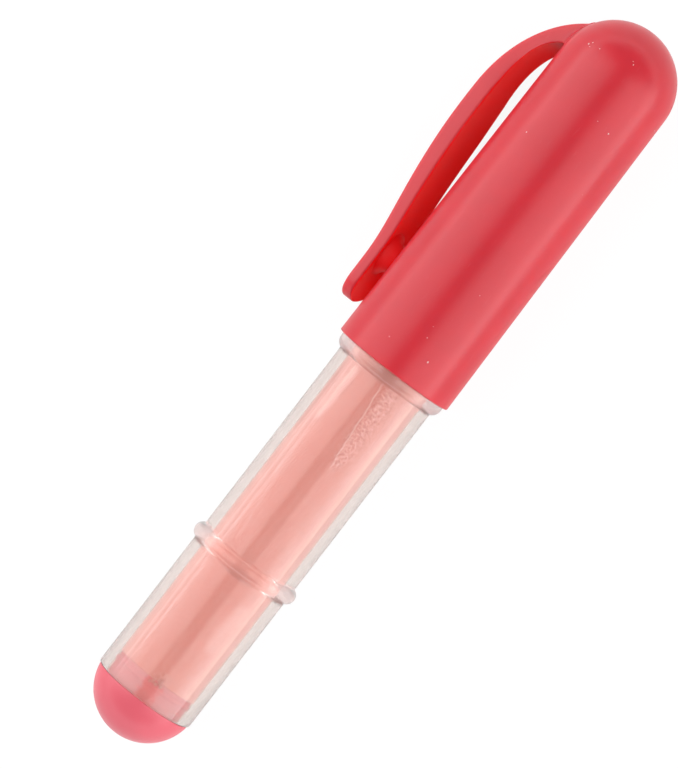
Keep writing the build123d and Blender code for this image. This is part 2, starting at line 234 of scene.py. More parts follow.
class ClipLook(PropertyGroup):
    """Pocket clip, with its heights given above the cap's flank."""

    width: length("Width", "Width of the strap where it is widest", 6.6)
    widest_setback: length("Widest place", "Distance from the widest place to the cap's shoulder", 16.5)
    tip_width: length("Tip width", "Width where the round tip ends", 5.7)
    root_width: length("Root width", "Width of the strap at its root", 5.0)
    narrow_setback: length("Narrow place", "Distance from the shoulder to where the strap is narrow", 2.1)
    tip_at: length("Tip place", "Distance from the cap's mouth to the tip", 3.3)
    tip_rise: length("Tip rise", "Height of the tip's outer face", 3.62)
    tip_thickness: length("Tip thickness", "Thickness at the tip", 1.6)
    hump_setback: length("Hump place", "Distance from the hump to the cap's shoulder", 10.2)
    hump_rise: length("Hump rise", "Height of the hump's outer face", 6.1)
    hump_thickness: length("Hump thickness", "Thickness at the hump", 2.38)
    edge: length("Edge", "Rounding of the strap's long edges", 0.38)
    root_ahead: length("Root place", "How far past the shoulder the root reaches", 4.3)
    root_length: length("Root length", "Length of the root along the axis", 4.0)
    root_sink: length("Root sink", "How far the root is sunk into the dome", 0.3)
    root_flare: length("Root flare", "Radius of the fillet where the root meets the dome", 0.45)
    knuckle: length("Knuckle", "Length of the stretch that bends", 4.0)
    nub_length: length("Nub length", "Length of the nub under the tip", 6.0)
    nub_width: length("Nub width", "Width of the nub", 5.0)
    nub_setback: length("Nub setback", "Distance from the tip to the nub", 4.2)
    nub_gap: length("Nub gap", "Gap between the nub and the cap", 0.05)
    stations: count("Stations", "Sections along one stretch of the strap", 56)


class WorksLook(PropertyGroup):
    """Nose, cradle, wheel and pin, which the cap hides."""

    nose: colour("Nose", "Colour of the nose", (0.68, 0.655, 0.61))
    cradle: colour("Cradle", "Colour of the cradle", (0.58, 0.56, 0.52))
    brass: colour("Wheel", "Colour of the toothed wheel", (0.78, 0.6, 0.32))
    steel: colour("Pin", "Colour of the pin", (0.66, 0.66, 0.68))
    nose_roughness: share("Nose roughness", "Roughness of the nose", 0.32)
    cradle_roughness: share("Cradle roughness", "Roughness of the cradle", 0.45)
    wheel_roughness: share("Wheel roughness", "Roughness of the toothed wheel", 0.2)
    pin_roughness: share("Pin roughness", "Roughness of the pin", 0.25)
    nose_peel: length("Nose peel", "Height of the nose's orange-peel skin", 0.006)
    cradle_peel: length("Cradle peel", "Height of the cradle's orange-peel skin", 0.01)
    mark_height: length("Mark height", "Height of the turning marks on the metal", 0.006)


class StageLook(PropertyGroup):
    """Table, lamps and camera."""

    floor_size: stage_length("Table", "Side of the white table top", 4.0)
    shadow: share("Shadow", "How strongly the table shows the pen's shadow", 0.12)
    lamp_distance: stage_length("Lamp distance", "Distance from the pen to each softbox", 0.55)
    lamp_length: stage_length("Lamp length", "Length of a softbox along the pen", 1.1)
    lamp_start: amount("Lamp start", "Angle from the camera to a softbox's near edge, in degrees", 9.0)
    lamp_end: amount("Lamp end", "Angle from the camera to a softbox's far edge, in degrees", 86.0)
    lamp_near: amount("Lamp near", "Brightness of a softbox near the camera, where 1 is white", 1.25)
    lamp_far: amount("Lamp far", "Brightness of a softbox at the side, where 1 is white", 2.0)
    white: amount("Table white", "Brightness of the plain white that the camera sees on the table", 1.05)
    sky: amount("Sky", "Brightness of the room overhead", 0.3)
    horizon: amount("Horizon", "Brightness of the room's walls near the table", 1.8)
    camera_height: stage_length("Camera height", "Height of the camera above the pen", 0.57)
    camera_aside: length("Camera offset", "How far the camera stands to the side away from the clip", 35.0)
    camera_ahead: length("Camera place", "How far the camera stands ahead of the pen's middle", 33.0)
    aim_behind: length("Aim along the pen", "How far behind the pen's middle the camera aims", 3.2)
    aim_aside: length("Aim aside", "How far to the clip's side of the axis the camera aims", 4.1)
    lens: amount("Lens", "Focal length in millimetres", 221.0)
    sensor: amount("Sensor", "Width of the camera's sensor in millimetres", 36.0)
    roll: amount("Roll", "Angle at which the pen points up to the right, in degrees", 52.3)
    nearest: stage_length("Nearest", "Nearest distance that the camera sees", 0.01)
    farthest: stage_length("Farthest", "Farthest distance that the camera sees", 10.0)


# Node trees

class Term:
    """One output of a node. Sums, products and powers of terms add Math nodes to the same tree."""

    def __init__(self, tree, node, socket):
        self.tree = tree
        self.node = node
        self.socket = socket

    def out(self, name):
        """Another output of the same node."""
        return Term(self.tree, self.node, self.node.outputs[name])

    def __add__(self, other):
        return self.tree.maths("ADD", self, other)

    def __radd__(self, other):
        return self.tree.maths("ADD", other, self)

    def __sub__(self, other):
        return self.tree.maths("SUBTRACT", self, other)

    def __rsub__(self, other):
        return self.tree.maths("SUBTRACT", other, self)

    def __mul__(self, other):
        return self.tree.maths("MULTIPLY", self, other)

    def __rmul__(self, other):
        return self.tree.maths("MULTIPLY", other, self)

    def __truediv__(self, other):
        return self.tree.maths("DIVIDE", self, other)

    def __pow__(self, other):
        return self.tree.maths("POWER", self, other)


class Tree:
    """Adds nodes to a shader tree or a geometry tree."""

    def __init__(self, group):
        self.group = group

    def node(self, kind, settings=None, inputs=None):
        """A node with its settings, then the values or links of its sockets. Gives its first output."""
        made = self.group.nodes.new(kind)
        for name, value in (settings or {}).items():
            if name == "stops":
                self.set_stops(made.color_ramp, value)
            else:
                setattr(made, name, value)
        for name, value in (inputs or {}).items():
            if isinstance(value, Term):
                self.group.links.new(value.socket, made.inputs[name])
            else:
                made.inputs[name].default_value = value
        return Term(self, made, made.outputs[0] if made.outputs else None)

    def set_stops(self, ramp, stops):
        """Places and colours of a ramp."""
        while len(ramp.elements) < len(stops):
            ramp.elements.new(1.0)
        for element, (place, tone) in zip(ramp.elements, stops):
            element.position = place
            element.color = tone

    def maths(self, operation, *values):
        """A Math node."""
        return self.node("ShaderNodeMath", {"operation": operation}, dict(enumerate(values)))

    def vector_maths(self, operation, *values):
        """A Vector Math node."""
        return self.node("ShaderNodeVectorMath", {"operation": operation}, dict(enumerate(values)))

    def vector(self, x, y, z):
        """A vector from three numbers."""
        return self.node("ShaderNodeCombineXYZ", None, {0: x, 1: y, 2: z})

    def step(self, value, low, high, start=0.0, end=1.0):
        """A smooth change from start to end while value goes from low to high."""
        settings = {"interpolation_type": "SMOOTHSTEP"}
        return self.node("ShaderNodeMapRange", settings, {0: value, 1: low, 2: high, 3: start, 4: end})

    def mix(self, low, high, factor):
        """Two colours mixed."""
        made = self.node("ShaderNodeMix", {"data_type": "RGBA"}, {0: factor, 6: low, 7: high})
        return Term(self, made.node, made.node.outputs[2])

    def noise(self, vector, scale, detail=3.0, roughness=0.5, distortion=0.0):
        """Noise from 0 to 1. The scale is in turns to the metre."""
        inputs = {
            "Vector": vector,
            "Scale": scale,
            "Detail": detail,
            "Roughness": roughness,
            "Distortion": distortion,
        }
        return self.node("ShaderNodeTexNoise", None, inputs)

    def random(self, low, high, seed):
        """A number drawn for each instance."""
        inputs = {2: low, 3: high, "Seed": seed}
        made = self.node("FunctionNodeRandomValue", {"data_type": "FLOAT"}, inputs)
        return Term(self, made.node, made.node.outputs[1])

    def bump(self, height, distance):
        """A bump of that height in metres where the value is 1."""
        return self.node("ShaderNodeBump", None, {"Height": height, "Distance": distance})

    def painted(self, name):
        """A value that the mesh carries at each point."""
        return self.node("ShaderNodeAttribute", {"attribute_name": name}).out("Fac")

    def seen_plainly(self):
        """1 for rays from the camera and through the clear plastic, and 0 for the others."""
        path = self.node("ShaderNodeLightPath")
        return self.maths("MAXIMUM", path.out("Is Camera Ray"), path.out("Is Transmission Ray"))


class Finish(Tree):
    """A material and its tree."""

    def __init__(self, name):
        self.material = bpy.data.materials.new(name)
        self.material.use_nodes = True
        super().__init__(self.material.node_tree)
        self.group.nodes.clear()

    def place(self):
        """Object coordinates, in metres."""
        return self.node("ShaderNodeTexCoord").out("Object")

    def pen_place(self):
        """Distance from the cap's mouth along the pen in millimetres, and angle round it from the top."""
        parts = self.node("ShaderNodeSeparateXYZ", None, {0: self.place()})
        along = (parts.out("X") - MOUTH) / MM
        turn = self.maths("ARCTAN2", AXIS_Y - parts.out("Y"), parts.out("Z") - AXIS_Z)
        return along, turn

    def close(self, shader):
        """Sends the shader to the output and gives the material."""
        self.node("ShaderNodeOutputMaterial", None, {"Surface": shader})
        return self.material


def opaque(tone):
    """A colour property as the four numbers that a socket takes."""
    return (*tone, 1.0)


def shade(tone, factor):
    """A colour made darker."""
    return tuple(part * factor for part in tone) + (1.0,)


def grey(level):
    """A grey as the four numbers that a socket takes."""
    return (level, level, level, 1.0)


# Materials

def clear_plastic():
    """Polished clear plastic with faint moulding waves and fine scuffs. Lamps reach what is inside."""
    look = bpy.context.scene.marker_tube
    tree = Finish("clear_plastic")
    place = tree.place()
    along, turn = tree.pen_place()
    waves = tree.noise(place, 120.0, 1.0)
    scuffs = tree.noise(tree.vector(along * 0.12, turn * 14.0, 0.0), 1.0, 4.0, 0.6)
    scuffed = tree.step(scuffs, 0.58, 0.72)
    bead_at = (TAIL_END + look.bead_from_tail - MOUTH) / MM
    bead = tree.step(tree.maths("ABSOLUTE", along - bead_at), 1.5, 1.0)
    flange = tree.step(along, -look.flange_width / MM - 0.4, -look.flange_width / MM + 0.2)
    flank = tree.step(tree.maths("ABSOLUTE", turn), 0.55, 1.05)
    inputs = {
        "Base Color": opaque(look.tint),
        "Alpha": 1.0 - look.soften * flank * tree.maths("MAXIMUM", bead, flange),
        "Roughness": look.roughness + 0.03 * scuffed,
        "IOR": 1.49,
        "Transmission Weight": look.clarity,
        "Normal": tree.bump(waves, look.wave_height),
    }
    glass = tree.node("ShaderNodeBsdfPrincipled", None, inputs)
    through = tree.node("ShaderNodeBsdfTransparent", None, {"Color": (0.93, 0.9, 0.89, 1.0)})
    lamp_ray = tree.node("ShaderNodeLightPath").out("Is Shadow Ray")
    return tree.close(tree.node("ShaderNodeMixShader", None, {0: lamp_ray, 1: glass, 2: through}))


def chalk_powder():
    """Packed powder: fine grain, slow mottling and paler film where it clings to the wall, with painted light
    and shade: paler sides, darker low spots, crumbs paler on top and darker below, dark bands behind the bead
    and flange, and thin painted highlight lines.
    """
    look = bpy.context.scene.marker_chalk
    tree = Finish("chalk_powder")
    place = tree.place()
    along, turn = tree.pen_place()
    grain = tree.noise(place, 5200.0, 3.0, 0.65)
    mottle = tree.noise(place, 420.0, 5.0, 0.6)
    streak = tree.noise(tree.vector(along * 0.09, turn * 2.6, 0.0), 1.0, 4.0, 0.6, 0.4)
    film = tree.step(streak, 0.42, 0.68)
    base = tree.mix(opaque(look.powder), opaque(look.film_and_light_tone), 0.12 * film + 0.08 * mottle)
    # Painted shade: darker where the grain's bump is low
    base = tree.mix(base, opaque(look.powder_shade), 0.16 * tree.step(grain, 0.55, 0.3))
    # Painted light: the powder is made paler towards the tube's sides, away from the top, where the lamps
    # light it more
    side = tree.step(tree.maths("ABSOLUTE", turn), 0.4, 1.1)
    base = tree.mix(base, opaque(look.film_and_light_tone), side * (0.6 + 0.5 * mottle))
    # Painted light and shade in crumbled patches: paler where the crumbly noise raises the bump, darker where
    # it is low
    crumbly = tree.noise(place, 3500.0, 2.0, 0.5, 0.5)
    crumble = tree.painted("crumble")
    base = tree.mix(base, opaque(look.film_and_light_tone), 0.42 * crumble * tree.step(crumbly, 0.48, 0.58))
    base = tree.mix(base, opaque(look.powder_shade), 0.75 * crumble * tree.step(crumbly, 0.48, 0.4))
    # Painted shade along the marked hollows, strongest in the dark bands behind the bead and behind the
    # flange
    hollow = tree.painted("hollow")
    base = tree.mix(base, opaque(look.powder_shade), hollow * (0.7 + 0.3 * grain))
    # Pale powder streaks on the wall, and thin painted highlight lines
    smear = tree.painted("smear")
    base = tree.mix(base, opaque(look.film_and_light_tone), smear * (0.6 + 0.6 * mottle))
    height = 0.6 * mottle + 0.4 * grain + 2.2 * crumble * crumbly
    inputs = {
        "Base Color": base,
        "Roughness": 0.9 + 0.08 * grain,
        "Specular IOR Level": 0.15,
        "Normal": tree.bump(height, look.skin_height),
    }
    return tree.close(tree.node("ShaderNodeBsdfPrincipled", None, inputs))


def moulded_plastic(name, tone, roughness, peel):
    """Moulded plastic: slow mottling, an orange-peel skin and fine scuffs along the pen."""
    tree = Finish(name)
    return tree.close(moulded_shader(tree, opaque(tone), roughness, peel))


def moulded_shader(tree, base, roughness, peel, glow=0.0, painted_glow=None):
    """The plastic's shader, so that a finish can change its colour first. Light enters it if it glows, and a
    painted glow is added as emission where a finish gives one.
    """
    place = tree.place()
    along, turn = tree.pen_place()
    mottle = tree.noise(place, 150.0, 3.0)
    skin = tree.noise(place, 900.0, 2.0)
    pores = tree.noise(place, 5200.0, 2.0)
    scuffs = tree.noise(tree.vector(along * 0.35, turn * 26.0, 0.0), 1.0, 4.0, 0.62, 0.6)
    scuffed = tree.step(scuffs, 0.6, 0.74)
    base = tree.mix(base, grey(0.0), 0.05 * tree.step(mottle, 0.65, 0.35))
    base = tree.mix(base, grey(1.0), 0.012 * scuffed)
    height = skin + 0.3 * pores
    inputs = {
        "Base Color": base,
        "Roughness": roughness + 0.05 * mottle + 0.06 * scuffed,
        "IOR": 1.5,
        "Subsurface Weight": glow,
        "Subsurface Radius": (1.0, 0.1, 0.08),
        "Subsurface Scale": bpy.context.scene.marker_cap.glow_depth,
        "Normal": tree.bump(height, peel),
    }
    if painted_glow is not None:
        inputs["Emission Color"] = painted_glow
        inputs["Emission Strength"] = 1.0
    return tree.node("ShaderNodeBsdfPrincipled", None, inputs)


def cap_plastic():
    """The cap's red plastic. The clip's inner face has painted light: a warmer base colour and a faint red
    emission stand in for light that comes through the thin clip.
    """
    look = bpy.context.scene.marker_cap
    tree = Finish("cap_plastic")
    # The inner attribute is the mask of the painted glow on the clip's inner face
    inner = tree.painted("inner")
    cloud = tree.noise(tree.place(), 260.0, 2.0)
    base = tree.mix(opaque(look.plastic), opaque(look.painted_glow_tone), inner)
    painted_glow = tree.mix(grey(0.0), opaque(look.painted_glow), inner * (0.8 + 0.4 * cloud))
    roughness = look.roughness + 0.12 * inner
    return tree.close(moulded_shader(tree, base, roughness, look.peel, look.glow, painted_glow))


def stopper_plastic():
    """The plug's red plastic, with a film of powder on the spigot inside the tube."""
    look = bpy.context.scene.marker_stopper
    tree = Finish("stopper_plastic")
    along, turn = tree.pen_place()
    inside = tree.step(along, (TAIL_END - MOUTH) / MM - 0.05, (TAIL_END - MOUTH) / MM + 0.1)
    cloud = tree.noise(tree.place(), 900.0, 4.0, 0.6)
    bare = tree.step(tree.maths("ABSOLUTE", turn - 0.35 + 0.5 * cloud), 0.27, 0.19)
    film = inside * tree.step(cloud, 0.2, 0.5, 0.8, 1.0) * (1.0 - 0.9 * bare)
    base = tree.mix(opaque(look.plastic), opaque(look.dusted), film)
    base = tree.mix(base, opaque(look.bare), inside * bare)
    return tree.close(moulded_shader(tree, base, look.roughness, look.peel))


def turned_metal(name, tone, roughness, mark_height):
    """Bright metal with fine turning marks round the wheel's axis."""
    tree = Finish(name)
    place = tree.place()
    offset = tree.vector_maths("SUBTRACT", place, tuple(WHEEL_CENTRE))
    shadow = tree.vector_maths("DOT_PRODUCT", offset, tuple(PIN_WAY)).out("Value")
    reach = tree.vector_maths("LENGTH", offset).out("Value")
    radius = tree.maths("SQRT", tree.maths("MAXIMUM", reach ** 2 - shadow ** 2, 0.0))
    marks = tree.noise(tree.vector(radius / MM * 9.0, 0.0, 0.0), 1.0, 4.0, 0.7)
    stain = tree.noise(place, 1400.0, 3.0)
    inputs = {
        "Base Color": tree.mix(opaque(tone), shade(tone, 0.7), 0.5 * tree.step(stain, 0.5, 0.75)),
        "Metallic": 1.0,
        "Roughness": roughness + 0.12 * marks + 0.1 * stain,
        "Normal": tree.bump(marks, mark_height),
    }
    return tree.close(tree.node("ShaderNodeBsdfPrincipled", None, inputs))


def speck_dust():
    """Pale dust and lint."""
    tree = Finish("speck_dust")
    tone = tree.noise(tree.place(), 2600.0, 2.0)
    inputs = {
        "Base Color": tree.mix((0.86, 0.5, 0.5, 1.0), (0.9, 0.78, 0.76, 1.0), tone),
        "Roughness": 0.6 + 0.3 * tone,
    }
    return tree.close(tree.node("ShaderNodeBsdfPrincipled", None, inputs))


def table_top():
    """White table: mostly a plain white where the camera sees it, so that the shadow is faint."""
    look = bpy.context.scene.marker_stage
    tree = Finish("table_top")
    grain = tree.noise(tree.place(), 60.0, 2.0)
    matt = tree.node("ShaderNodeBsdfDiffuse", None, {"Color": tree.mix(grey(0.86), grey(0.9), grain)})
    white = tree.node("ShaderNodeEmission", None, {"Color": grey(1.0), "Strength": look.white})
    plain = tree.seen_plainly() * (1.0 - look.shadow)
    return tree.close(tree.node("ShaderNodeMixShader", None, {0: plain, 1: matt, 2: white}))


# Mesh building

def add_object(name, data):
    """A new object in the scene."""
    made = bpy.data.objects.new(name, data)
    bpy.context.scene.collection.objects.link(made)
    return made


def paint(piece, name, values):
    """Gives each point of a piece a value for its material to read."""
    layer = piece.data.attributes.new(name, "FLOAT", "POINT")
    for point, value in zip(layer.data, values):
        point.value = value


def make_piece(name, points, faces, material):
    """A smooth-shaded piece with its faces turned outwards."""
    mesh = bpy.data.meshes.new(name)
    mesh.from_pydata([tuple(point) for point in points], [], faces)
    form = bmesh.new()
    form.from_mesh(mesh)
    bmesh.ops.recalc_face_normals(form, faces=form.faces)
    form.to_mesh(mesh)
    form.free()
    mesh.shade_smooth()
    mesh.set_sharp_from_angle(angle=CREASE)
    mesh.materials.append(material)
    return add_object(name, mesh)


def pen_point(along, out, side):
    """A point given from the cap's mouth along the pen, out towards the clip and along the wheel's pin."""
    return Vector((MOUTH + along, AXIS_Y, AXIS_Z)) + CLIP_WAY * out + PIN_WAY * side


def round_point(along, radius, turn):
    """A point round the axis, with the turn measured from the top towards the side away from the clip."""
    return Vector((along, AXIS_Y - radius * sin(turn), AXIS_Z + radius * cos(turn)))


def ring_faces(rings, closed):
    """Faces between neighbouring rings of point numbers. A ring of one number is a pole."""
    faces = []
    pairs = list(zip(rings, rings[1:]))
    if closed:
        pairs.append((rings[-1], rings[0]))
    for first, second in pairs:
        sides = max(len(first), len(second))
        for step in range(sides):
            after = (step + 1) % sides
            if len(first) == 1:
                faces.append((first[0], second[step], second[after]))
            elif len(second) == 1:
                faces.append((first[step], second[0], first[after]))
            else:
                faces.append((first[step], second[step], second[after], first[after]))
    return faces


def lathe(outline, sides, closed=False, shift=None):
    """Points and faces of an outline of (along, radius) turned round the pen's axis."""
    points = []
    rings = []
    for along, radius in outline:
        if radius < POLE:
            rings.append([len(points)])
            points.append(round_point(along, 0.0, 0.0))
            continue
        rings.append(list(range(len(points), len(points) + sides)))
        for step in range(sides):
            turn = 2 * pi * step / sides
            moved = shift(along, radius, turn) if shift else 0.0
            points.append(round_point(along, radius + moved, turn))
    return points, ring_faces(rings, closed)


def arc(centre, radius, start, end, steps):
    """Points on an arc, with its angles in degrees from the +X direction."""
    points = []
    for step in range(steps + 1):
        turn = radians(start + (end - start) * step / steps)
        points.append((centre[0] + radius * cos(turn), centre[1] + radius * sin(turn)))
    return points


def soft_max(first, second, softness):
    """The larger of two numbers, with the corner between them eased."""
    ease = max(softness - abs(first - second), 0.0) / softness
    return max(first, second) + ease * ease * softness / 4


def curve_point(start, end, start_lean, end_lean, shares, t):
    """A point on a smooth curve whose two handles lie along the given directions."""
    reach = end[0] - start[0]
    first = (start[0] + start_lean[0] * shares[0] * reach, start[1] + start_lean[1] * shares[0] * reach)
    second = (end[0] - end_lean[0] * shares[1] * reach, end[1] - end_lean[1] * shares[1] * reach)
    weights = ((1 - t) ** 3, 3 * t * (1 - t) ** 2, 3 * t * t * (1 - t), t ** 3)
    corners = (start, first, second, end)
    return tuple(sum(w * corner[k] for w, corner in zip(weights, corners)) for k in range(2))


# The clear tube

def tube_skin(along):
    """Outer radius of the tube at a place along the pen, with its bead."""
    look = bpy.context.scene.marker_tube
    half = look.bead_width / 2
    curve = (half ** 2 + look.bead_height ** 2) / (2 * look.bead_height)
    away = along - (TAIL_END + look.bead_from_tail)
    if abs(away) >= curve:
        return look.radius
    bead = look.radius + look.bead_height - curve + sqrt(curve ** 2 - away ** 2)
    return soft_max(look.radius, bead, look.bead_root)


def tube_outline():
    """Closed half section of the tube, from its tail edge over the bead and the flange to the neck."""
    look = bpy.context.scene.marker_tube
    bore = look.radius - look.wall
    bead_at = TAIL_END + look.bead_from_tail
    flange_start = MOUTH - look.flange_width
    land = MOUTH - look.flange_land
    outline = arc((TAIL_END + look.inner_round, bore + look.inner_round), look.inner_round, 270, 180, 4)
    edge = (TAIL_END + look.end_round, look.radius - look.end_round)
    outline += arc(edge, look.end_round, 180, 90, 6)
    steps = 24
    for step in range(-steps, steps + 1):
        along = bead_at + look.bead_width * step / steps
        outline.append((along, tube_skin(along)))
    rise = FLANGE_RADIUS - look.radius
    run = land - flange_start
    curve = (run ** 2 + rise ** 2) / (2 * rise)
    lean = degrees(asin(run / curve))
    outline.append((flange_start - look.flange_land, look.radius))
    outline += arc((land, FLANGE_RADIUS - curve), curve, 90 + lean, 90, 10)
    corner = (MOUTH - look.seat - look.flange_round, FLANGE_RADIUS - look.flange_round)
    outline += arc(corner, look.flange_round, 90, 0, 4)
    neck = look.radius - look.neck_step
    outline.append((MOUTH - look.seat, neck))
    outline.append((NECK_END - look.neck_chamfer, neck))
    outline.append((NECK_END, neck - look.neck_chamfer))
    outline.append((NECK_END, bore))
    return outline


def tube_seam(along, radius, turn):
    """How far the mould line lifts the tube's outer face at a point."""
    look = bpy.context.scene.marker_tube
    if radius < look.radius - look.end_round or along > MOUTH - look.flange_width:
        return 0.0
    away = (turn + radians(look.seam_turn) + pi / 2) % pi - pi / 2
    return look.seam_height if abs(away) <= pi / look.sides else 0.0


# The powder

STROKES = (
    # kind, start and end along the pen in millimetres, start and end angle, half width in degrees, strength
    ("smear", -10.5, -1.6, -38.5, -36.5, 9.0, 0.8),
    ("hollow", -13.5, -1.6, -57.0, -56.0, 5.0, 0.45),
    ("hollow", -7.6, -3.4, -31.0, -27.0, 0.9, 0.9),
    ("crumble", -14.6, -1.2, 19.0, 21.0, 16.0, 1.0),
    ("smear", -14.6, -1.4, 15.8, 3.5, 1.1, 0.9),
    ("hollow", -14.0, -1.4, 14.2, 2.0, 1.2, 0.3),
    ("smear", -19.0, -3.0, 62.0, 50.0, 8.0, 0.5),
    ("smear", -41.0, -33.0, 34.0, 40.0, 14.0, 0.5),
    # The next two strokes are painted shade: the dark bands seen behind the bead and behind the flange
    ("hollow", -31.3, -29.8, 6.0, 6.0, 34.0, 1.0),
    ("hollow", -1.9, -0.1, 2.0, 2.0, 36.0, 1.0),
    # Painted light and shade on the crumbled patch at the tail, then a painted dark patch among the crumbs
    ("crumble", -47.0, -45.4, 8.0, 14.0, 14.0, 0.6),
    ("hollow", -46.9, -46.1, 10.0, 14.0, 5.0, 0.9),
    ("smear", -28.0, -17.0, -22.0, -34.0, 3.0, 0.25),
    # These two thin pale lines are painted highlight: the bright line along the tube's mould line, painted on
    # the powder
    ("smear", -46.0, -31.5, -36.5, -36.5, 0.9, 0.7),
    ("smear", -30.0, -9.5, -36.5, -36.5, 0.9, 0.6),
)
MARKS = ("smear", "hollow", "crumble")
# How far round from its start a stroke can count, and how far it wanders to the sides, both in degrees
STROKE_SPAN = 45
STROKE_WANDER = 1.6
# Turns of noise to the metre in the powder's skin
SWELLS_TO_METRE = 260.0
GRAINS_TO_METRE = 2400.0


def chalk_marks(along, turn):
    """How strong each kind of mark is at a place along the pen in millimetres and an angle in degrees."""
    marks = dict.fromkeys(MARKS, 0.0)
    for kind, start, end, first, last, width, strength in STROKES:
        t = (along - start) / (end - start)
        if t <= 0.0 or t >= 1.0 or abs(turn - first) >= STROKE_SPAN:
            continue
        wander = STROKE_WANDER * noise.noise(Vector((along * 0.7, first, 0.0)))
        middle = first + (last - first) * t + wander
        spread = width * (0.25 + 0.75 * sin(pi * min(t, 0.75)) ** 0.5)
        away = abs(turn - middle) / spread
        fade = min(1.0, 8 * t, 10 * (1 - t))
        marks[kind] = max(marks[kind], max(0.0, 1.0 - away ** 2) * fade * strength)
    return marks


def chalk_shift(along, radius, turn):
    """Unevenness of the powder, which never reaches the wall."""
    look = bpy.context.scene.marker_chalk
    spot = round_point(along, radius, turn)
    slow = noise.fractal(spot * SWELLS_TO_METRE, 1.0, 2.0, 3)
    fine = noise.fractal(spot * GRAINS_TO_METRE, 1.0, 2.0, 3)
    marks = chalk_marks((along - MOUTH) / MM, signed_degrees(turn))
    sunk = look.mark_depth * (marks["hollow"] + marks["crumble"])
    return min(0.0, look.swell * (slow - 0.5) + look.grain * (fine - 0.5) - sunk)


def signed_degrees(turn):
    """An angle in degrees from -180 to 180."""
    return (degrees(turn) + 180) % 360 - 180


def chalk_outline():
    """Half section of the powder, from the plug's cup through the tube to the throat in the nose."""
    tube = bpy.context.scene.marker_tube
    look = bpy.context.scene.marker_chalk
    plug = bpy.context.scene.marker_stopper
    stub = tube.radius - tube.wall - plug.ease - plug.wall - look.gap
    plug_front = TAIL_END + plug.spigot
    nose_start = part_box("nose_cone")[0].x
    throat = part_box("wheel_cradle")[0].x
    inner = CHALK_RADIUS - look.wall
    edge = look.gap * 2
    body_start = plug_front + look.gap / 4
    body_end = nose_start - look.gap
    outline = [(CHALK_LOW.x, 0.0), (CHALK_LOW.x, stub - edge), (CHALK_LOW.x + edge, stub)]
    outline += [(body_start, stub), (body_start, CHALK_RADIUS - edge)]
    span = body_end - body_start - 2 * edge
    for ring in range(look.rings + 1):
        outline.append((body_start + edge + span * ring / look.rings, CHALK_RADIUS))
    outline += [(body_end, CHALK_RADIUS - edge), (body_end, inner)]
    outline += [(NECK_END + look.funnel_at, inner), (throat, look.throat_radius), (throat, 0.0)]
    return outline


# The plug

def stopper_outline():
    """Half section of the plug, from the tip of its dome round the rim to its spigot and its cup."""
    tube = bpy.context.scene.marker_tube
    look = bpy.context.scene.marker_stopper
    bore = tube.radius - tube.wall
    dome = tube.radius - look.dome_step
    centre = TAIL_END + look.dome_inset
    front = TAIL_END + look.spigot
    spigot = bore - look.ease
    cup = spigot - look.wall
    rim_turn = degrees(acos(-(look.dome_inset + look.edge) / dome))
    outline = arc((centre, 0.0), dome, 180, rim_turn, 48)
    rim = outline[-1][1]
    outline += [(TAIL_END - look.edge * 0.3, rim - look.edge * 0.2), (TAIL_END, rim - look.edge)]
    outline.append((TAIL_END, spigot))
    rib = front - look.rib_width
    rise = look.ease - look.fit
    steps = 8
    for step in range(steps + 1):
        t = step / steps
        outline.append((rib + look.rib_width * (t - 0.5), spigot + rise * sin(pi * t)))
    corner = look.edge / 5
    outline += arc((front - corner, spigot - corner), corner, 90, 0, 3)
    outline += arc((front - look.edge, cup + look.edge), look.edge, 0, -90, 3)
    floor = front - look.cup_depth
    outline += [(floor + look.edge, cup), (floor, cup - look.edge), (floor, 0.0)]
    outline[0] = (outline[0][0], 0.0)
    return outline


# The cap

def cap_sizes():
    """Radius at the mouth, radius at the shoulder and place of the shoulder."""
    look = bpy.context.scene.marker_cap
    shoulder = CAP_MOUTH_RADIUS - look.taper
    return CAP_MOUTH_RADIUS, shoulder, DOME_APEX - shoulder


def flank_radius(along):
    """Outer radius of the cap's flank at a distance from its mouth."""
    mouth, shoulder, shoulder_at = cap_sizes()
    return mouth + (shoulder - mouth) * along / (shoulder_at - MOUTH)


def cap_outline():
    """Half section of the cap's shell, from the tip of its dome over the rim to the tip of its hollow."""
    look = bpy.context.scene.marker_cap
    mouth, shoulder, shoulder_at = cap_sizes()
    outline = arc((shoulder_at, 0.0), shoulder, 0, 90, 64)
    flank_end = MOUTH + look.rim_round
    steps = 24
    for step in range(1, steps):
        t = step / steps
        outline.append((shoulder_at + (flank_end - shoulder_at) * t, shoulder + (mouth - shoulder) * t))
    outline += arc((MOUTH + look.rim_round, mouth - look.rim_round), look.rim_round, 90, 180, 6)
    bore = mouth - look.wall
    outline += arc((MOUTH + look.inner_round, bore + look.inner_round), look.inner_round, 180, 270, 4)
    outline += arc((shoulder_at, 0.0), shoulder - look.wall, 90, 0, 32)
    outline[0] = (outline[0][0], 0.0)
    outline[-1] = (outline[-1][0], 0.0)
    return outline


# The clip

# Where the two faces begin to rise, as shares of the way from the tip to the hump
OUTER_RISE_SHARE = 0.19
INNER_RISE_SHARE = 0.25
# How far the handles of each curve reach, as shares of its stretch
OUTER_RISE_SHARES = (0.24, 0.55)
INNER_RISE_SHARES = (0.18, 0.58)
PLAN_SHARES = (0.3, 0.3)
OUTER_FALL_SHARES = (0.69, 0.10)
INNER_FALL_SHARES = (0.30, 0.42)
# The ways in which the curves leave and arrive
LEVEL = (1, 0)
OUTER_FALL = (0.38, -0.925)
INNER_FALL = (0.33, -0.944)
# The largest rounding as a share of the strap's thickness
EDGE_SHARE = 0.46
# Sections in the round tip, and the share of a step at which the first one stands
TIP_STEPS = 20
TIP_BLUNT = 0.6
# How often a stretch is halved to find a place on a curve
HALVINGS = 40
# How far the nub's skin reaches as a share of its size, and how much painted glow it gets as an inner face
NUB_REACH_SHARE = 0.52
NUB_PAINTED_GLOW_SHARE = 0.7


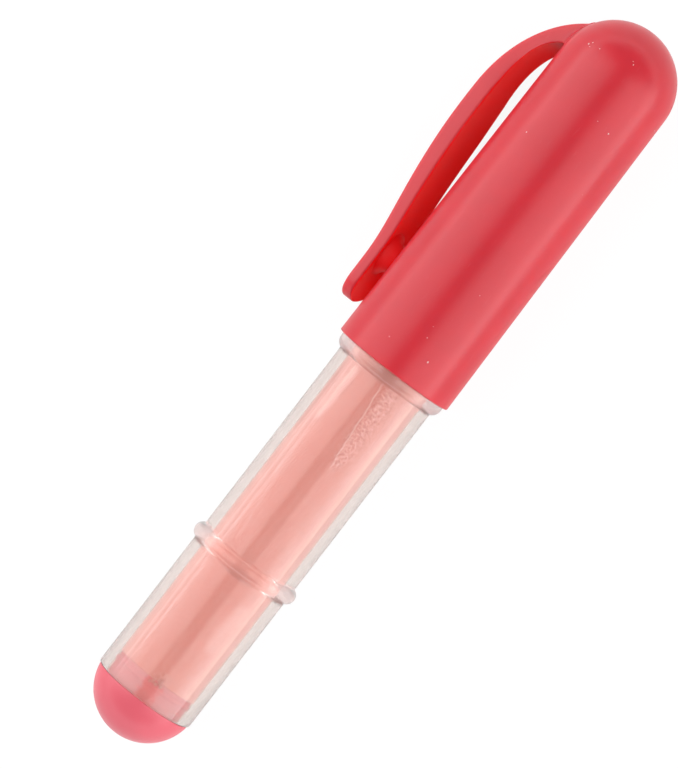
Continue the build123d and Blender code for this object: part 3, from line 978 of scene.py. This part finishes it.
def strap_levels():
    """Places and heights that the clip's side view hangs on, all in the pen's own frame."""
    look = bpy.context.scene.marker_clip
    shoulder_at = cap_sizes()[2] - MOUTH
    shoulder = cap_sizes()[1]
    hump_at = shoulder_at - look.hump_setback
    root_at = shoulder_at + look.root_ahead
    tip_outer = flank_radius(look.tip_at) + look.tip_rise
    hump_outer = flank_radius(hump_at) + look.hump_rise
    return {
        "tip_outer": tip_outer,
        "tip_inner": tip_outer - look.tip_thickness,
        "hump": (hump_at, hump_outer),
        "hump_inner": (hump_at, hump_outer - look.hump_thickness),
        "root": (root_at, sqrt(shoulder ** 2 - look.root_ahead ** 2) - look.root_sink),
        "root_inner": (root_at - look.root_length, shoulder - look.root_sink / 2),
        "rise_from": look.tip_at + OUTER_RISE_SHARE * (hump_at - look.tip_at),
        "under_from": look.tip_at + INNER_RISE_SHARE * (hump_at - look.tip_at),
        "dome_centre": shoulder_at,
    }


def height_on(start, end, shares, along):
    """Height at a place along the pen on a curve that leaves and arrives level."""
    low, high = 0.0, 1.0
    for _ in range(HALVINGS):
        middle = (low + high) / 2
        if curve_point(start, end, LEVEL, LEVEL, shares, middle)[0] < along:
            low = middle
        else:
            high = middle
    return curve_point(start, end, LEVEL, LEVEL, shares, low)[1]


def strap_width(along):
    """Width of the strap: a round tip, a slow swelling and a narrow root."""
    look = bpy.context.scene.marker_clip
    shoulder_at = strap_levels()["dome_centre"]
    tip = look.tip_width / 2
    into = along - look.tip_at
    if into < tip:
        return 2 * sqrt(max(POLE, tip ** 2 - (tip - into) ** 2))
    widest = (shoulder_at - look.widest_setback, look.width)
    narrow = (shoulder_at - look.narrow_setback, look.root_width)
    if along < widest[0]:
        return height_on((look.tip_at + tip, look.tip_width), widest, PLAN_SHARES, along)
    if along < narrow[0]:
        return height_on(widest, narrow, PLAN_SHARES, along)
    return look.root_width


def strap_section(along):
    """Outer point, inner point and width of the strap before its hump."""
    level = strap_levels()
    outer = level["tip_outer"]
    if along > level["rise_from"]:
        outer = height_on((level["rise_from"], outer), level["hump"], OUTER_RISE_SHARES, along)
    inner = level["tip_inner"]
    if along > level["under_from"]:
        inner = height_on((level["under_from"], inner), level["hump_inner"], INNER_RISE_SHARES, along)
    return (along, outer), (along, inner), strap_width(along)


def strap_sections():
    """Sections of the strap from its tip over the hump to its root."""
    look = bpy.context.scene.marker_clip
    level = strap_levels()
    hump_at = level["hump"][0]
    steps = look.stations
    tip = look.tip_width / 2
    sections = []
    for step in range(TIP_STEPS):
        t = (step + TIP_BLUNT) / (TIP_STEPS + TIP_BLUNT)
        sections.append(strap_section(look.tip_at + tip * (1 - cos(pi / 2 * t))))
    rest = look.tip_at + tip
    for step in range(steps):
        sections.append(strap_section(rest + (hump_at - rest) * step / steps))
    for step in range(steps + 1):
        t = step / steps
        outer = curve_point(level["hump"], level["root"], LEVEL, OUTER_FALL, OUTER_FALL_SHARES, t)
        start, end = level["hump_inner"], level["root_inner"]
        inner = curve_point(start, end, LEVEL, INNER_FALL, INNER_FALL_SHARES, t)
        sections.append((outer, inner, strap_width((outer[0] + inner[0]) / 2)))
    return sections


def crowned(point):
    """A point of a ring moved so that its height is its distance from the pen's axis."""
    return point[0], sqrt(max(POLE, point[1] ** 2 - point[2] ** 2)), point[2]


def section_ring(outer, inner, width, edge):
    """Points of a rounded oblong between two points of the side view, as (along, out, side)."""
    thick = hypot(outer[0] - inner[0], outer[1] - inner[1])
    edge = min(edge, thick * EDGE_SHARE, width * EDGE_SHARE)
    up = ((outer[0] - inner[0]) / thick, (outer[1] - inner[1]) / thick)
    corners = (
        (width / 2 - edge, thick - edge, 0),
        (-width / 2 + edge, thick - edge, 90),
        (-width / 2 + edge, edge, 180),
        (width / 2 - edge, edge, 270),
    )
    flat = []
    for number, (side, level, start) in enumerate(corners):
        flat += arc((side, level), edge, start, start + 90, 5)
        following = corners[(number + 1) % 4]
        last = flat[-1]
        turn = radians(following[2])
        goal = (following[0] + edge * cos(turn), following[1] + edge * sin(turn))
        fills = 7 if number % 2 == 0 else 3
        for step in range(1, fills + 1):
            t = step / (fills + 1)
            flat.append((last[0] + (goal[0] - last[0]) * t, last[1] + (goal[1] - last[1]) * t))
    return [(inner[0] + up[0] * level, inner[1] + up[1] * level, side) for side, level in flat]


def above_dome(point, centre, shoulder):
    """How far a point lies above the cap's skin near the shoulder."""
    ahead = max(0.0, point[0] - centre)
    return hypot(ahead, hypot(point[1], point[2])) - shoulder


def flare_root(rings):
    """Widens the strap where it comes down on the dome, and lands its last ring inside the cap's wall."""
    look = bpy.context.scene.marker_clip
    cap = bpy.context.scene.marker_cap
    centre = strap_levels()["dome_centre"]
    shoulder = cap_sizes()[1]
    flared = []
    for ring in rings:
        middle = tuple(sum(point[k] for point in ring) / len(ring) for k in range(3))
        moved = []
        for point in ring:
            height = above_dome(point, centre, shoulder)
            if point[0] < centre - look.root_length * 1.5 or height > look.root_flare:
                moved.append(point)
                continue
            depth = 1 - max(0.0, height) / look.root_flare
            grow = look.root_flare * (1 - sqrt(max(0.0, 1 - depth ** 2)))
            away = Vector(point) - Vector(middle)
            moved.append(tuple(Vector(point) + away.normalized() * grow))
        flared.append(moved)
    last = []
    for point in flared[-1]:
        flat = Vector((0.0, point[1], point[2]))
        ahead = point[0] - centre
        wanted = shoulder - cap.wall / 2
        reach = sqrt(max(POLE, wanted ** 2 - max(0.0, ahead) ** 2))
        flat = flat.normalized() * min(flat.length, reach)
        last.append((point[0], flat.y, flat.z))
    flared.append(last)
    return flared


def closed_rings(rings):
    """Points and faces of a run of like rings in the pen's own frame, closed at both ends."""
    points = []
    numbers = []
    for ring in rings:
        numbers.append(list(range(len(points), len(points) + len(ring))))
        points += [pen_point(*point) for point in ring]
    faces = ring_faces(numbers, False)
    for ring in (numbers[0], numbers[-1]):
        middle = sum((points[k] for k in ring), Vector()) / len(ring)
        faces += ring_faces([[len(points)], ring], False)
        points.append(middle)
    return points, faces


def strap_mesh():
    """Points and faces of the strap and of the nub under its tip."""
    edge = bpy.context.scene.marker_clip.edge
    rings = []
    for section in strap_sections():
        rings.append([crowned(point) for point in section_ring(*section, edge)])
    points, faces = closed_rings(flare_root(rings))
    nub_points, nub_faces = nub_mesh()
    faces += [tuple(k + len(points) for k in face) for face in nub_faces]
    return points + nub_points, faces


def nub_middle():
    """Distance from the cap's mouth to the middle of the nub."""
    look = bpy.context.scene.marker_clip
    return look.tip_at + look.nub_setback + look.nub_length / 2


def painted_glow_share(vertex):
    """How much painted glow a point of the strap gets, from 0 to 1, as much as it faces the cap. The nub
    counts alike all over.
    """
    look = bpy.context.scene.marker_clip
    offset = vertex.co - Vector((vertex.co.x, AXIS_Y, AXIS_Z))
    ahead = (vertex.co.x - MOUTH - nub_middle()) / look.nub_length
    aside = offset.dot(PIN_WAY) / look.nub_width
    under = offset.dot(CLIP_WAY) < strap_levels()["tip_inner"] + look.tip_thickness / 2
    if under and hypot(ahead, aside) < NUB_REACH_SHARE:
        return NUB_PAINTED_GLOW_SHARE
    facing = -vertex.normal.dot(offset.normalized())
    return min(1.0, max(0.0, facing * 2.0 - 0.9))


def nub_mesh():
    """Points and faces of the rounded nub, which swells out of the strap's inner face."""
    look = bpy.context.scene.marker_clip
    top = strap_levels()["tip_inner"]
    low = CAP_MOUTH_RADIUS + look.nub_gap
    middle = nub_middle()
    rings = []
    steps = 14
    sides = 40
    for step in range(-1, steps):
        spread = 1 - max(step, 0) / steps
        level = top + (low - top) * (0.5 + 0.5 * cos(pi * spread ** 1.5))
        if step < 0:
            level = top + look.tip_thickness / 3
        ring = []
        for turn in range(sides):
            angle = 2 * pi * turn / sides
            side = look.nub_width / 2 * spread * sin(angle)
            ring.append((middle + look.nub_length / 2 * spread * cos(angle), level, side))
        rings.append(ring)
    return closed_rings(rings)


# Dust and crumbs that lie at places of their own

CAP_SPECKS = (
    # distance from the mouth in millimetres, angle from the top in degrees, radius in millimetres
    (3.6, 23.2, 0.1),
    (5.9, 9.8, 0.055),
    (38.3, 27.8, 0.09),
    (38.7, 12.8, 0.05),
    (45.4, -41.5, 0.1),
    (45.8, -39.0, 0.07),
    (45.2, -38.0, 0.05),
    (45.7, -28.0, 0.06),
    (46.6, 7.7, 0.07),
    (46.9, 5.5, 0.045),
    (7.4, 8.0, 0.035),
    (13.7, 24.0, 0.04),
)
TAIL_CRUMBS = (
    (-47.4, -1.0, 0.17),
    (-47.1, 3.0, 0.22),
    (-47.3, 7.5, 0.2),
    (-47.0, 11.0, 0.18),
    (-47.2, 15.0, 0.22),
    (-46.7, 17.5, 0.15),
    (-46.6, 8.5, 0.13),
    (-46.5, 13.5, 0.12),
    (-49.0, 52.0, 0.13),
    (-48.6, 50.0, 0.09),
    (-49.2, 47.0, 0.08),
    (-48.8, 45.0, 0.1),
    (-48.4, 54.0, 0.07),
)


# Length, width and height of a speck as shares of its radius, then the unevenness of its skin and of the
# crumbs' painted shade
SPECK_SHARES = (1.3, 0.9, 0.35)
SPECK_WARP = 0.02 * MM
SPECK_WARPS_TO_METRE = 9000.0
CRUMB_SHADES_TO_METRE = 2500.0
# How far apart the three noises of a push are read, so that they differ
NOISE_APART = 17.3


def cap_skin(along):
    """Radius of the cap's skin at a distance from the mouth, and how far its surface leans forward."""
    shoulder, shoulder_at = cap_sizes()[1:]
    ahead = along - (shoulder_at - MOUTH)
    if ahead <= 0.0:
        return flank_radius(along), 0.0
    return sqrt(shoulder ** 2 - ahead ** 2), asin(ahead / shoulder)


def powder_skin(_along):
    """Radius just under the tube's bore, where crumbs cling to the wall. It doesn't lean."""
    return CHALK_RADIUS - bpy.context.scene.marker_chalk.cling, 0.0


def uneven_push(place):
    """A push in three directions, each from -1 to 1, that is the same in each run."""
    return Vector([noise.noise(place + Vector((axis * NOISE_APART, 0.0, 0.0))) for axis in range(3)])


def crumb_shade(vertex):
    """How far a point of a crumb is painted in the powder's shade colour, by noise, for the shade between the
    crumbs.
    """
    return 0.6 + 0.8 * noise.noise(vertex.co * CRUMB_SHADES_TO_METRE)


def place_specks(name, table, skin, material):
    """One uneven, flattened grain for each entry of a table."""
    form = bmesh.new()
    for along, degrees_round, size in table:
        radius, lean = skin(along * MM)
        turn = radians(degrees_round)
        out = Vector((sin(lean), -cos(lean) * sin(turn), cos(lean) * cos(turn)))
        side = Vector((0.0, cos(turn), sin(turn)))
        spot = round_point(MOUTH + along * MM, radius, turn)
        shape = Matrix.Diagonal(Vector(SPECK_SHARES) * size * MM).to_4x4()
        matrix = Matrix.Translation(spot) @ turned(side.cross(out), side, out) @ shape
        bmesh.ops.create_icosphere(form, subdivisions=2, radius=1.0, matrix=matrix)
    for vertex in form.verts:
        vertex.co += SPECK_WARP * uneven_push(vertex.co * SPECK_WARPS_TO_METRE)
    mesh = bpy.data.meshes.new(name)
    form.to_mesh(mesh)
    form.free()
    mesh.shade_smooth()
    mesh.materials.append(material)
    return add_object(name, mesh)


# Geometry node groups

def geometry_group(name, sizes):
    """A geometry tree with a Geometry input and named inputs for its sizes."""
    group = bpy.data.node_groups.new(name, "GeometryNodeTree")
    group.interface.new_socket("Geometry", in_out="OUTPUT", socket_type="NodeSocketGeometry")
    group.interface.new_socket("Geometry", in_out="INPUT", socket_type="NodeSocketGeometry")
    for socket_name, kind in sizes.items():
        group.interface.new_socket(socket_name, in_out="INPUT", socket_type=kind)
    return Tree(group)


def bake_group(tree, carrier, name, values, material):
    """Runs a geometry tree on a carrier object and keeps the result as a plain mesh piece."""
    modifier = carrier.modifiers.new(name, "NODES")
    modifier.node_group = tree.group
    for item in tree.group.interface.items_tree:
        if item.item_type == "SOCKET" and item.in_out == "INPUT" and item.name in values:
            modifier[item.identifier] = values[item.name]
    depsgraph = bpy.context.evaluated_depsgraph_get()
    mesh = bpy.data.meshes.new_from_object(carrier.evaluated_get(depsgraph), depsgraph=depsgraph)
    carrier.modifiers.remove(modifier)
    mesh.name = name
    mesh.materials.clear()
    mesh.materials.append(material)
    return add_object(name, mesh)


def rib_group():
    """Round bars laid along the pen, evenly spaced in a ring."""
    sizes = {
        "Count": "NodeSocketInt",
        "Radius": "NodeSocketFloat",
        "Bar Radius": "NodeSocketFloat",
        "Length": "NodeSocketFloat",
        "Centre": "NodeSocketVector",
        "Finish": "NodeSocketMaterial",
    }
    tree = geometry_group("grip_ribs", sizes)
    given = tree.node("NodeGroupInput")
    ends = {"Start": (0.0, 0.0, 0.0), "End": tree.vector(given.out("Length"), 0.0, 0.0)}
    line = tree.node("GeometryNodeCurvePrimitiveLine", None, ends)
    rim = tree.node("GeometryNodeCurvePrimitiveCircle", None, {
        "Resolution": 20,
        "Radius": given.out("Bar Radius"),
    })
    bar = tree.node("GeometryNodeCurveToMesh", None, {
        "Curve": line,
        "Profile Curve": rim.out("Curve"),
        "Fill Caps": True,
    })
    index = tree.node("GeometryNodeInputIndex")
    turn = index * (2 * pi) / given.out("Count")
    aside = tree.maths("SINE", turn) * given.out("Radius")
    above = tree.maths("COSINE", turn) * given.out("Radius")
    spot = tree.vector_maths("ADD", tree.vector(0.0, aside, above), given.out("Centre"))
    points = tree.node("GeometryNodePoints", None, {"Count": given.out("Count"), "Position": spot})
    placed = tree.node("GeometryNodeInstanceOnPoints", None, {"Points": points, "Instance": bar})
    finish_group(tree, placed, given.out("Finish"))
    return tree


def finish_group(tree, geometry, material):
    """Ends a tree: instances made real, shaded smooth and given their material."""
    real = tree.node("GeometryNodeRealizeInstances", None, {"Geometry": geometry})
    smooth = tree.node("GeometryNodeSetShadeSmooth", None, {"Geometry": real})
    dressed = tree.node("GeometryNodeSetMaterial", None, {"Geometry": smooth, "Material": material})
    tree.node("NodeGroupOutput", None, {"Geometry": dressed})


def grain_group(name):
    """Small uneven grains scattered over the carrier's faces between two places along the pen."""
    sizes = {
        "Count": "NodeSocketInt",
        "Size": "NodeSocketFloat",
        "Sink": "NodeSocketFloat",
        "Flatness": "NodeSocketFloat",
        "Start": "NodeSocketFloat",
        "End": "NodeSocketFloat",
        "Inner Radius": "NodeSocketFloat",
        "Centre": "NodeSocketVector",
        "Seed": "NodeSocketInt",
        "Finish": "NodeSocketMaterial",
    }
    tree = geometry_group(name, sizes)
    given = tree.node("NodeGroupInput")
    position = tree.node("GeometryNodeInputPosition")
    parts = tree.node("ShaderNodeSeparateXYZ", None, {0: position})
    offset = tree.vector_maths("SUBTRACT", position, given.out("Centre"))
    flat = tree.vector_maths("MULTIPLY", offset, (0.0, 1.0, 1.0))
    radius = tree.vector_maths("LENGTH", flat).out("Value")
    after = tree.maths("GREATER_THAN", parts.out("X"), given.out("Start"))
    before = tree.maths("LESS_THAN", parts.out("X"), given.out("End"))
    outside = tree.maths("GREATER_THAN", radius, given.out("Inner Radius"))
    chosen = after * before * outside
    area = tree.node("GeometryNodeAttributeStatistic", {"domain": "FACE"}, {
        "Geometry": given.out("Geometry"),
        "Selection": chosen,
        "Attribute": tree.node("GeometryNodeInputMeshFaceArea"),
    }).out("Sum")
    scatter = tree.node("GeometryNodeDistributePointsOnFaces", None, {
        "Mesh": given.out("Geometry"),
        "Selection": chosen,
        "Density": given.out("Count") / area,
        "Seed": given.out("Seed"),
    })
    grain = tree.node("GeometryNodeMeshIcoSphere", None, {"Radius": 1.0, "Subdivisions": 2})
    bumps = tree.node("ShaderNodeTexNoise", None, {"Scale": 1.6, "Detail": 1.0})
    push = tree.node("ShaderNodeVectorMath", {"operation": "SCALE"}, {0: position, "Scale": bumps - 0.5})
    shaped = tree.node("GeometryNodeSetPosition", None, {"Geometry": grain.out("Mesh"), "Offset": push})
    size = tree.random(0.3, 1.0, given.out("Seed"))
    stretch = tree.random(0.8, 1.5, 7)
    size = size * size * given.out("Size")
    scale = tree.vector(size * stretch, size, size * given.out("Flatness"))
    placed = tree.node("GeometryNodeInstanceOnPoints", None, {
        "Points": scatter.out("Points"),
        "Instance": shaped,
        "Rotation": scatter.out("Rotation"),
        "Scale": scale,
    })
    sunk = tree.node("GeometryNodeTranslateInstances", None, {
        "Instances": placed,
        "Translation": tree.vector(0.0, 0.0, -1.0 * given.out("Sink")),
        "Local Space": True,
    })
    finish_group(tree, sunk, given.out("Finish"))
    return tree


# Operators

class ClearTube(Operator):
    """Make the clear tube with its bead, flange, neck and mould line"""

    bl_idname = "marker.clear_tube"
    bl_label = "Clear tube"

    def execute(self, context):
        points, faces = lathe(tube_outline(), context.scene.marker_tube.sides, True, tube_seam)
        piece = make_piece("clear_tube", points, faces, clear_plastic())
        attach(piece, "barrel")
        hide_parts("barrel")
        return {"FINISHED"}


class ChalkFill(Operator):
    """Make the packed powder with its grain, film and crumbs"""

    bl_idname = "marker.chalk_fill"
    bl_label = "Chalk powder"

    def execute(self, context):
        look = context.scene.marker_chalk
        points, faces = lathe(chalk_outline(), look.sides, False, chalk_shift)
        piece = make_piece("chalk_powder", points, faces, chalk_powder())
        marks = []
        for vertex in piece.data.vertices:
            turn = degrees(atan2(AXIS_Y - vertex.co.y, vertex.co.z - AXIS_Z))
            marks.append(chalk_marks((vertex.co.x - MOUTH) / MM, turn))
        for kind in MARKS:
            paint(piece, kind, [mark[kind] for mark in marks])
        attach(piece, "barrel")
        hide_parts("chalk_charge")
        return {"FINISHED"}


class TailStopper(Operator):
    """Make the domed plug in the tail"""

    bl_idname = "marker.tail_stopper"
    bl_label = "Tail stopper"

    def execute(self, context):
        points, faces = lathe(stopper_outline(), context.scene.marker_stopper.sides)
        piece = make_piece("tail_stopper", points, faces, stopper_plastic())
        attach(piece, "plug")
        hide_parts("tail_plug")
        return {"FINISHED"}


class CapBody(Operator):
    """Make the domed cap, its grip ribs and its clip"""

    bl_idname = "marker.cap_body"
    bl_label = "Cap and clip"

    def execute(self, context):
        look = context.scene.marker_cap
        plastic = cap_plastic()
        points, faces = lathe(cap_outline(), look.sides)
        shell = make_piece("cap_body", points, faces, plastic)
        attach(shell, "cap")
        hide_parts("cap_shell")
        values = {
            "Count": look.ribs,
            "Radius": CAP_MOUTH_RADIUS - look.wall,
            "Bar Radius": look.rib_width / 2,
            "Length": look.rib_length,
            "Centre": (MOUTH + look.rib_start, AXIS_Y, AXIS_Z),
            "Finish": plastic,
        }
        ribs = bake_group(rib_group(), shell, "grip_ribs", values, plastic)
        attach(ribs, "cap")
        clip = make_piece("pocket_strap", *strap_mesh(), plastic)
        # The inner attribute carries the mask of the clip's painted glow
        paint(clip, "inner", [painted_glow_share(vertex) for vertex in clip.data.vertices])
        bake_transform(clip)
        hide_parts("pocket_clip")
        return {"FINISHED"}


class LooseGrains(Operator):
    """Scatter crumbs on the powder and dust specks on the cap"""

    bl_idname = "marker.loose_grains"
    bl_label = "Crumbs and dust"

    def execute(self, context):
        chalk = context.scene.marker_chalk
        cap = context.scene.marker_cap
        tree = grain_group("grains")
        powder = bpy.data.objects["chalk_powder"]
        values = {
            "Count": chalk.crumbs,
            "Size": chalk.crumb_size,
            "Sink": chalk.crumb_size * 0.4,
            "Flatness": 0.5,
            "Start": PLUG_HIGH.x + chalk.crumb_start,
            "End": MOUTH - chalk.crumb_end,
            "Inner Radius": CHALK_RADIUS - chalk.crumb_depth,
            "Centre": (0.0, AXIS_Y, AXIS_Z),
            "Seed": 4,
        }
        crumbs = bake_group(tree, powder, "chalk_crumbs", values, powder.data.materials[0])
        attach(crumbs, "barrel")
        values = {
            "Count": cap.specks,
            "Size": cap.speck_size,
            "Sink": 0.0,
            "Flatness": 0.35,
            "Start": MOUTH + cap.speck_start,
            "End": DOME_APEX - cap.speck_end,
            "Inner Radius": CAP_MOUTH_RADIUS - cap.taper - cap.speck_depth,
            "Centre": (0.0, AXIS_Y, AXIS_Z),
            "Seed": 11,
        }
        dust = bake_group(tree, bpy.data.objects["cap_body"], "cap_dust", values, speck_dust())
        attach(dust, "cap")
        lint = place_specks("cap_lint", CAP_SPECKS, cap_skin, dust.data.materials[0])
        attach(lint, "cap")
        clump = place_specks("tail_crumbs", TAIL_CRUMBS, powder_skin, powder.data.materials[0])
        # Painted shade on the tail crumbs
        paint(clump, "hollow", [crumb_shade(vertex) for vertex in clump.data.vertices])
        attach(clump, "barrel")
        return {"FINISHED"}


class WheelWorks(Operator):
    """Finish the nose, the cradle, the toothed wheel and its pin"""

    bl_idname = "marker.wheel_works"
    bl_label = "Nose and wheel"

    def execute(self, context):
        look = context.scene.marker_works
        finishes = (
            ("nose_cone", "nose_plastic", moulded_plastic, look.nose, look.nose_roughness, look.nose_peel),
            ("wheel_cradle", "cradle_plastic", moulded_plastic, look.cradle, look.cradle_roughness,
             look.cradle_peel),
            ("dosing_wheel", "wheel_metal", turned_metal, look.brass, look.wheel_roughness, look.mark_height),
            ("axle_pin", "pin_steel", turned_metal, look.steel, look.pin_roughness, look.mark_height),
        )
        for node, slot_name, finish, tone, roughness, height in finishes:
            material = finish(slot_name, tone, roughness, height)
            for slot in frame["nodes"][node].material_slots:
                slot.material = material
        return {"FINISHED"}


class StudioStage(Operator):
    """Set the white table, the softboxes, the room and the camera"""

    bl_idname = "marker.studio_stage"
    bl_label = "Studio stage"

    def execute(self, context):
        add_table()
        add_room()
        for side in (-1, 1):
            add_softbox(side)
        add_camera()
        context.scene.view_settings.view_transform = "Standard"
        return {"FINISHED"}


def add_table():
    """White table top under the pen."""
    look = bpy.context.scene.marker_stage
    half = look.floor_size / 2
    corners = [(-half, -half, 0.0), (half, -half, 0.0), (half, half, 0.0), (-half, half, 0.0)]
    mesh = bpy.data.meshes.new("table")
    mesh.from_pydata(corners, [], [(0, 1, 2, 3)])
    mesh.materials.append(table_top())
    add_object("table", mesh)


def add_room():
    """White where the camera or clear plastic looks at it, and dim overhead for gloss and light."""
    look = bpy.context.scene.marker_stage
    world = bpy.data.worlds.new("room")
    world.use_nodes = True
    world.node_tree.nodes.clear()
    tree = Tree(world.node_tree)
    seen = tree.seen_plainly()
    way = tree.node("ShaderNodeTexCoord").out("Generated")
    level = tree.node("ShaderNodeSeparateXYZ", None, {0: way}).out("Z")
    room = tree.step(level, 0.08, 0.35, look.horizon, look.sky)
    strength = seen + (1.0 - seen) * room
    background = tree.node("ShaderNodeBackground", None, {"Color": grey(1.0), "Strength": strength})
    tree.node("ShaderNodeOutputWorld", None, {"Surface": background})
    bpy.context.scene.world = world


def add_softbox(side):
    """One long softbox beside the camera: it leaves a dark gap over the pen, is brightest at its far edge
    and fades towards its two ends."""
    look = bpy.context.scene.marker_stage
    lean = radians((look.lamp_start + look.lamp_end) / 2) * side - look.camera_aside / look.camera_height
    half = radians((look.lamp_end - look.lamp_start) / 2)
    width = 2 * look.lamp_distance * sin(half) / cos(half)
    lamp = bpy.data.lights.new("softbox", "AREA")
    lamp.shape = "RECTANGLE"
    lamp.size = look.lamp_length
    lamp.size_y = width
    lamp.energy = pi * width * look.lamp_length
    lamp.use_nodes = True
    lamp.node_tree.nodes.clear()
    tree = Tree(lamp.node_tree)
    face = tree.node("ShaderNodeNewGeometry").out("Parametric")
    parts = tree.node("ShaderNodeSeparateXYZ", None, {0: face})
    ends = tree.step(tree.maths("ABSOLUTE", parts.out("X") - 0.5), 0.14, 0.5, 1.0, 0.0)
    near = tree.step(parts.out("Y"), 0.0, 0.2)
    rise = tree.step(parts.out("Y"), 0.1, 0.75, look.lamp_near, look.lamp_far)
    glow = tree.node("ShaderNodeEmission", None, {"Strength": ends * near * rise})
    tree.node("ShaderNodeOutputLight", None, {"Surface": glow})
    box = add_object("softbox", lamp)
    out = Vector((0.0, sin(lean), cos(lean)))
    across = Vector((side, 0.0, 0.0))
    spot = Vector((0.0, AXIS_Y, AXIS_Z)) + out * look.lamp_distance
    box.matrix_world = Matrix.Translation(spot) @ turned(across, out.cross(across), out)


def turned(right, up, back):
    """A rotation from its three axes."""
    return Matrix((right, up, back)).transposed().to_4x4()


def add_camera():
    """Camera above the pen, rolled so that the pen points up to the right."""
    look = bpy.context.scene.marker_stage
    data = bpy.data.cameras.new("camera")
    data.lens = look.lens
    data.sensor_width = look.sensor
    data.clip_start = look.nearest
    data.clip_end = look.farthest
    camera = add_object("camera", data)
    stand = Vector((look.camera_ahead, AXIS_Y - look.camera_aside, AXIS_Z + look.camera_height))
    target = Vector((-look.aim_behind, AXIS_Y + look.aim_aside, AXIS_Z))
    back = (stand - target).normalized()
    roll = radians(look.roll)
    right = Vector((cos(roll), -sin(roll), 0.0))
    right = (right - back * right.dot(back)).normalized()
    camera.matrix_world = Matrix.Translation(stand) @ turned(right, back.cross(right), back)
    bpy.context.scene.camera = camera


# Panel and registration

GROUPS = {
    "marker_tube": TubeLook,
    "marker_chalk": ChalkLook,
    "marker_stopper": StopperLook,
    "marker_cap": CapLook,
    "marker_clip": ClipLook,
    "marker_works": WorksLook,
    "marker_stage": StageLook,
}
STEPS = (ClearTube, ChalkFill, TailStopper, CapBody, LooseGrains, WheelWorks, StudioStage)


class MarkerPanel(Panel):
    """Lists the marker's sizes, colours and build steps"""

    bl_idname = "VIEW3D_PT_chalk_marker"
    bl_label = "Chalk marker"
    bl_space_type = "VIEW_3D"
    bl_region_type = "UI"
    bl_category = "Chalk marker"

    def draw(self, context):
        for step in STEPS:
            self.layout.operator(step.bl_idname)
        for name, group in GROUPS.items():
            box = self.layout.box()
            box.label(text=group.__doc__)
            for prop in group.__annotations__:
                box.prop(getattr(context.scene, name), prop)


def register():
    """Adds the marker's properties, build steps and panel."""
    for cls in (*GROUPS.values(), *STEPS, MarkerPanel):
        bpy.utils.register_class(cls)
    for name, group in GROUPS.items():
        setattr(bpy.types.Scene, name, PointerProperty(type=group))


def unregister():
    """Takes them away again."""
    for name in GROUPS:
        delattr(bpy.types.Scene, name)
    for cls in reversed((*GROUPS.values(), *STEPS, MarkerPanel)):
        bpy.utils.unregister_class(cls)


def main():
    """Builds the marker and its stage."""
    register()
    bpy.ops.marker.clear_tube()
    bpy.ops.marker.chalk_fill()
    bpy.ops.marker.tail_stopper()
    bpy.ops.marker.cap_body()
    bpy.ops.marker.loose_grains()
    bpy.ops.marker.wheel_works()
    bpy.ops.marker.studio_stage()
    bpy.context.view_layer.update()


if __name__ == "__main__":
    main()
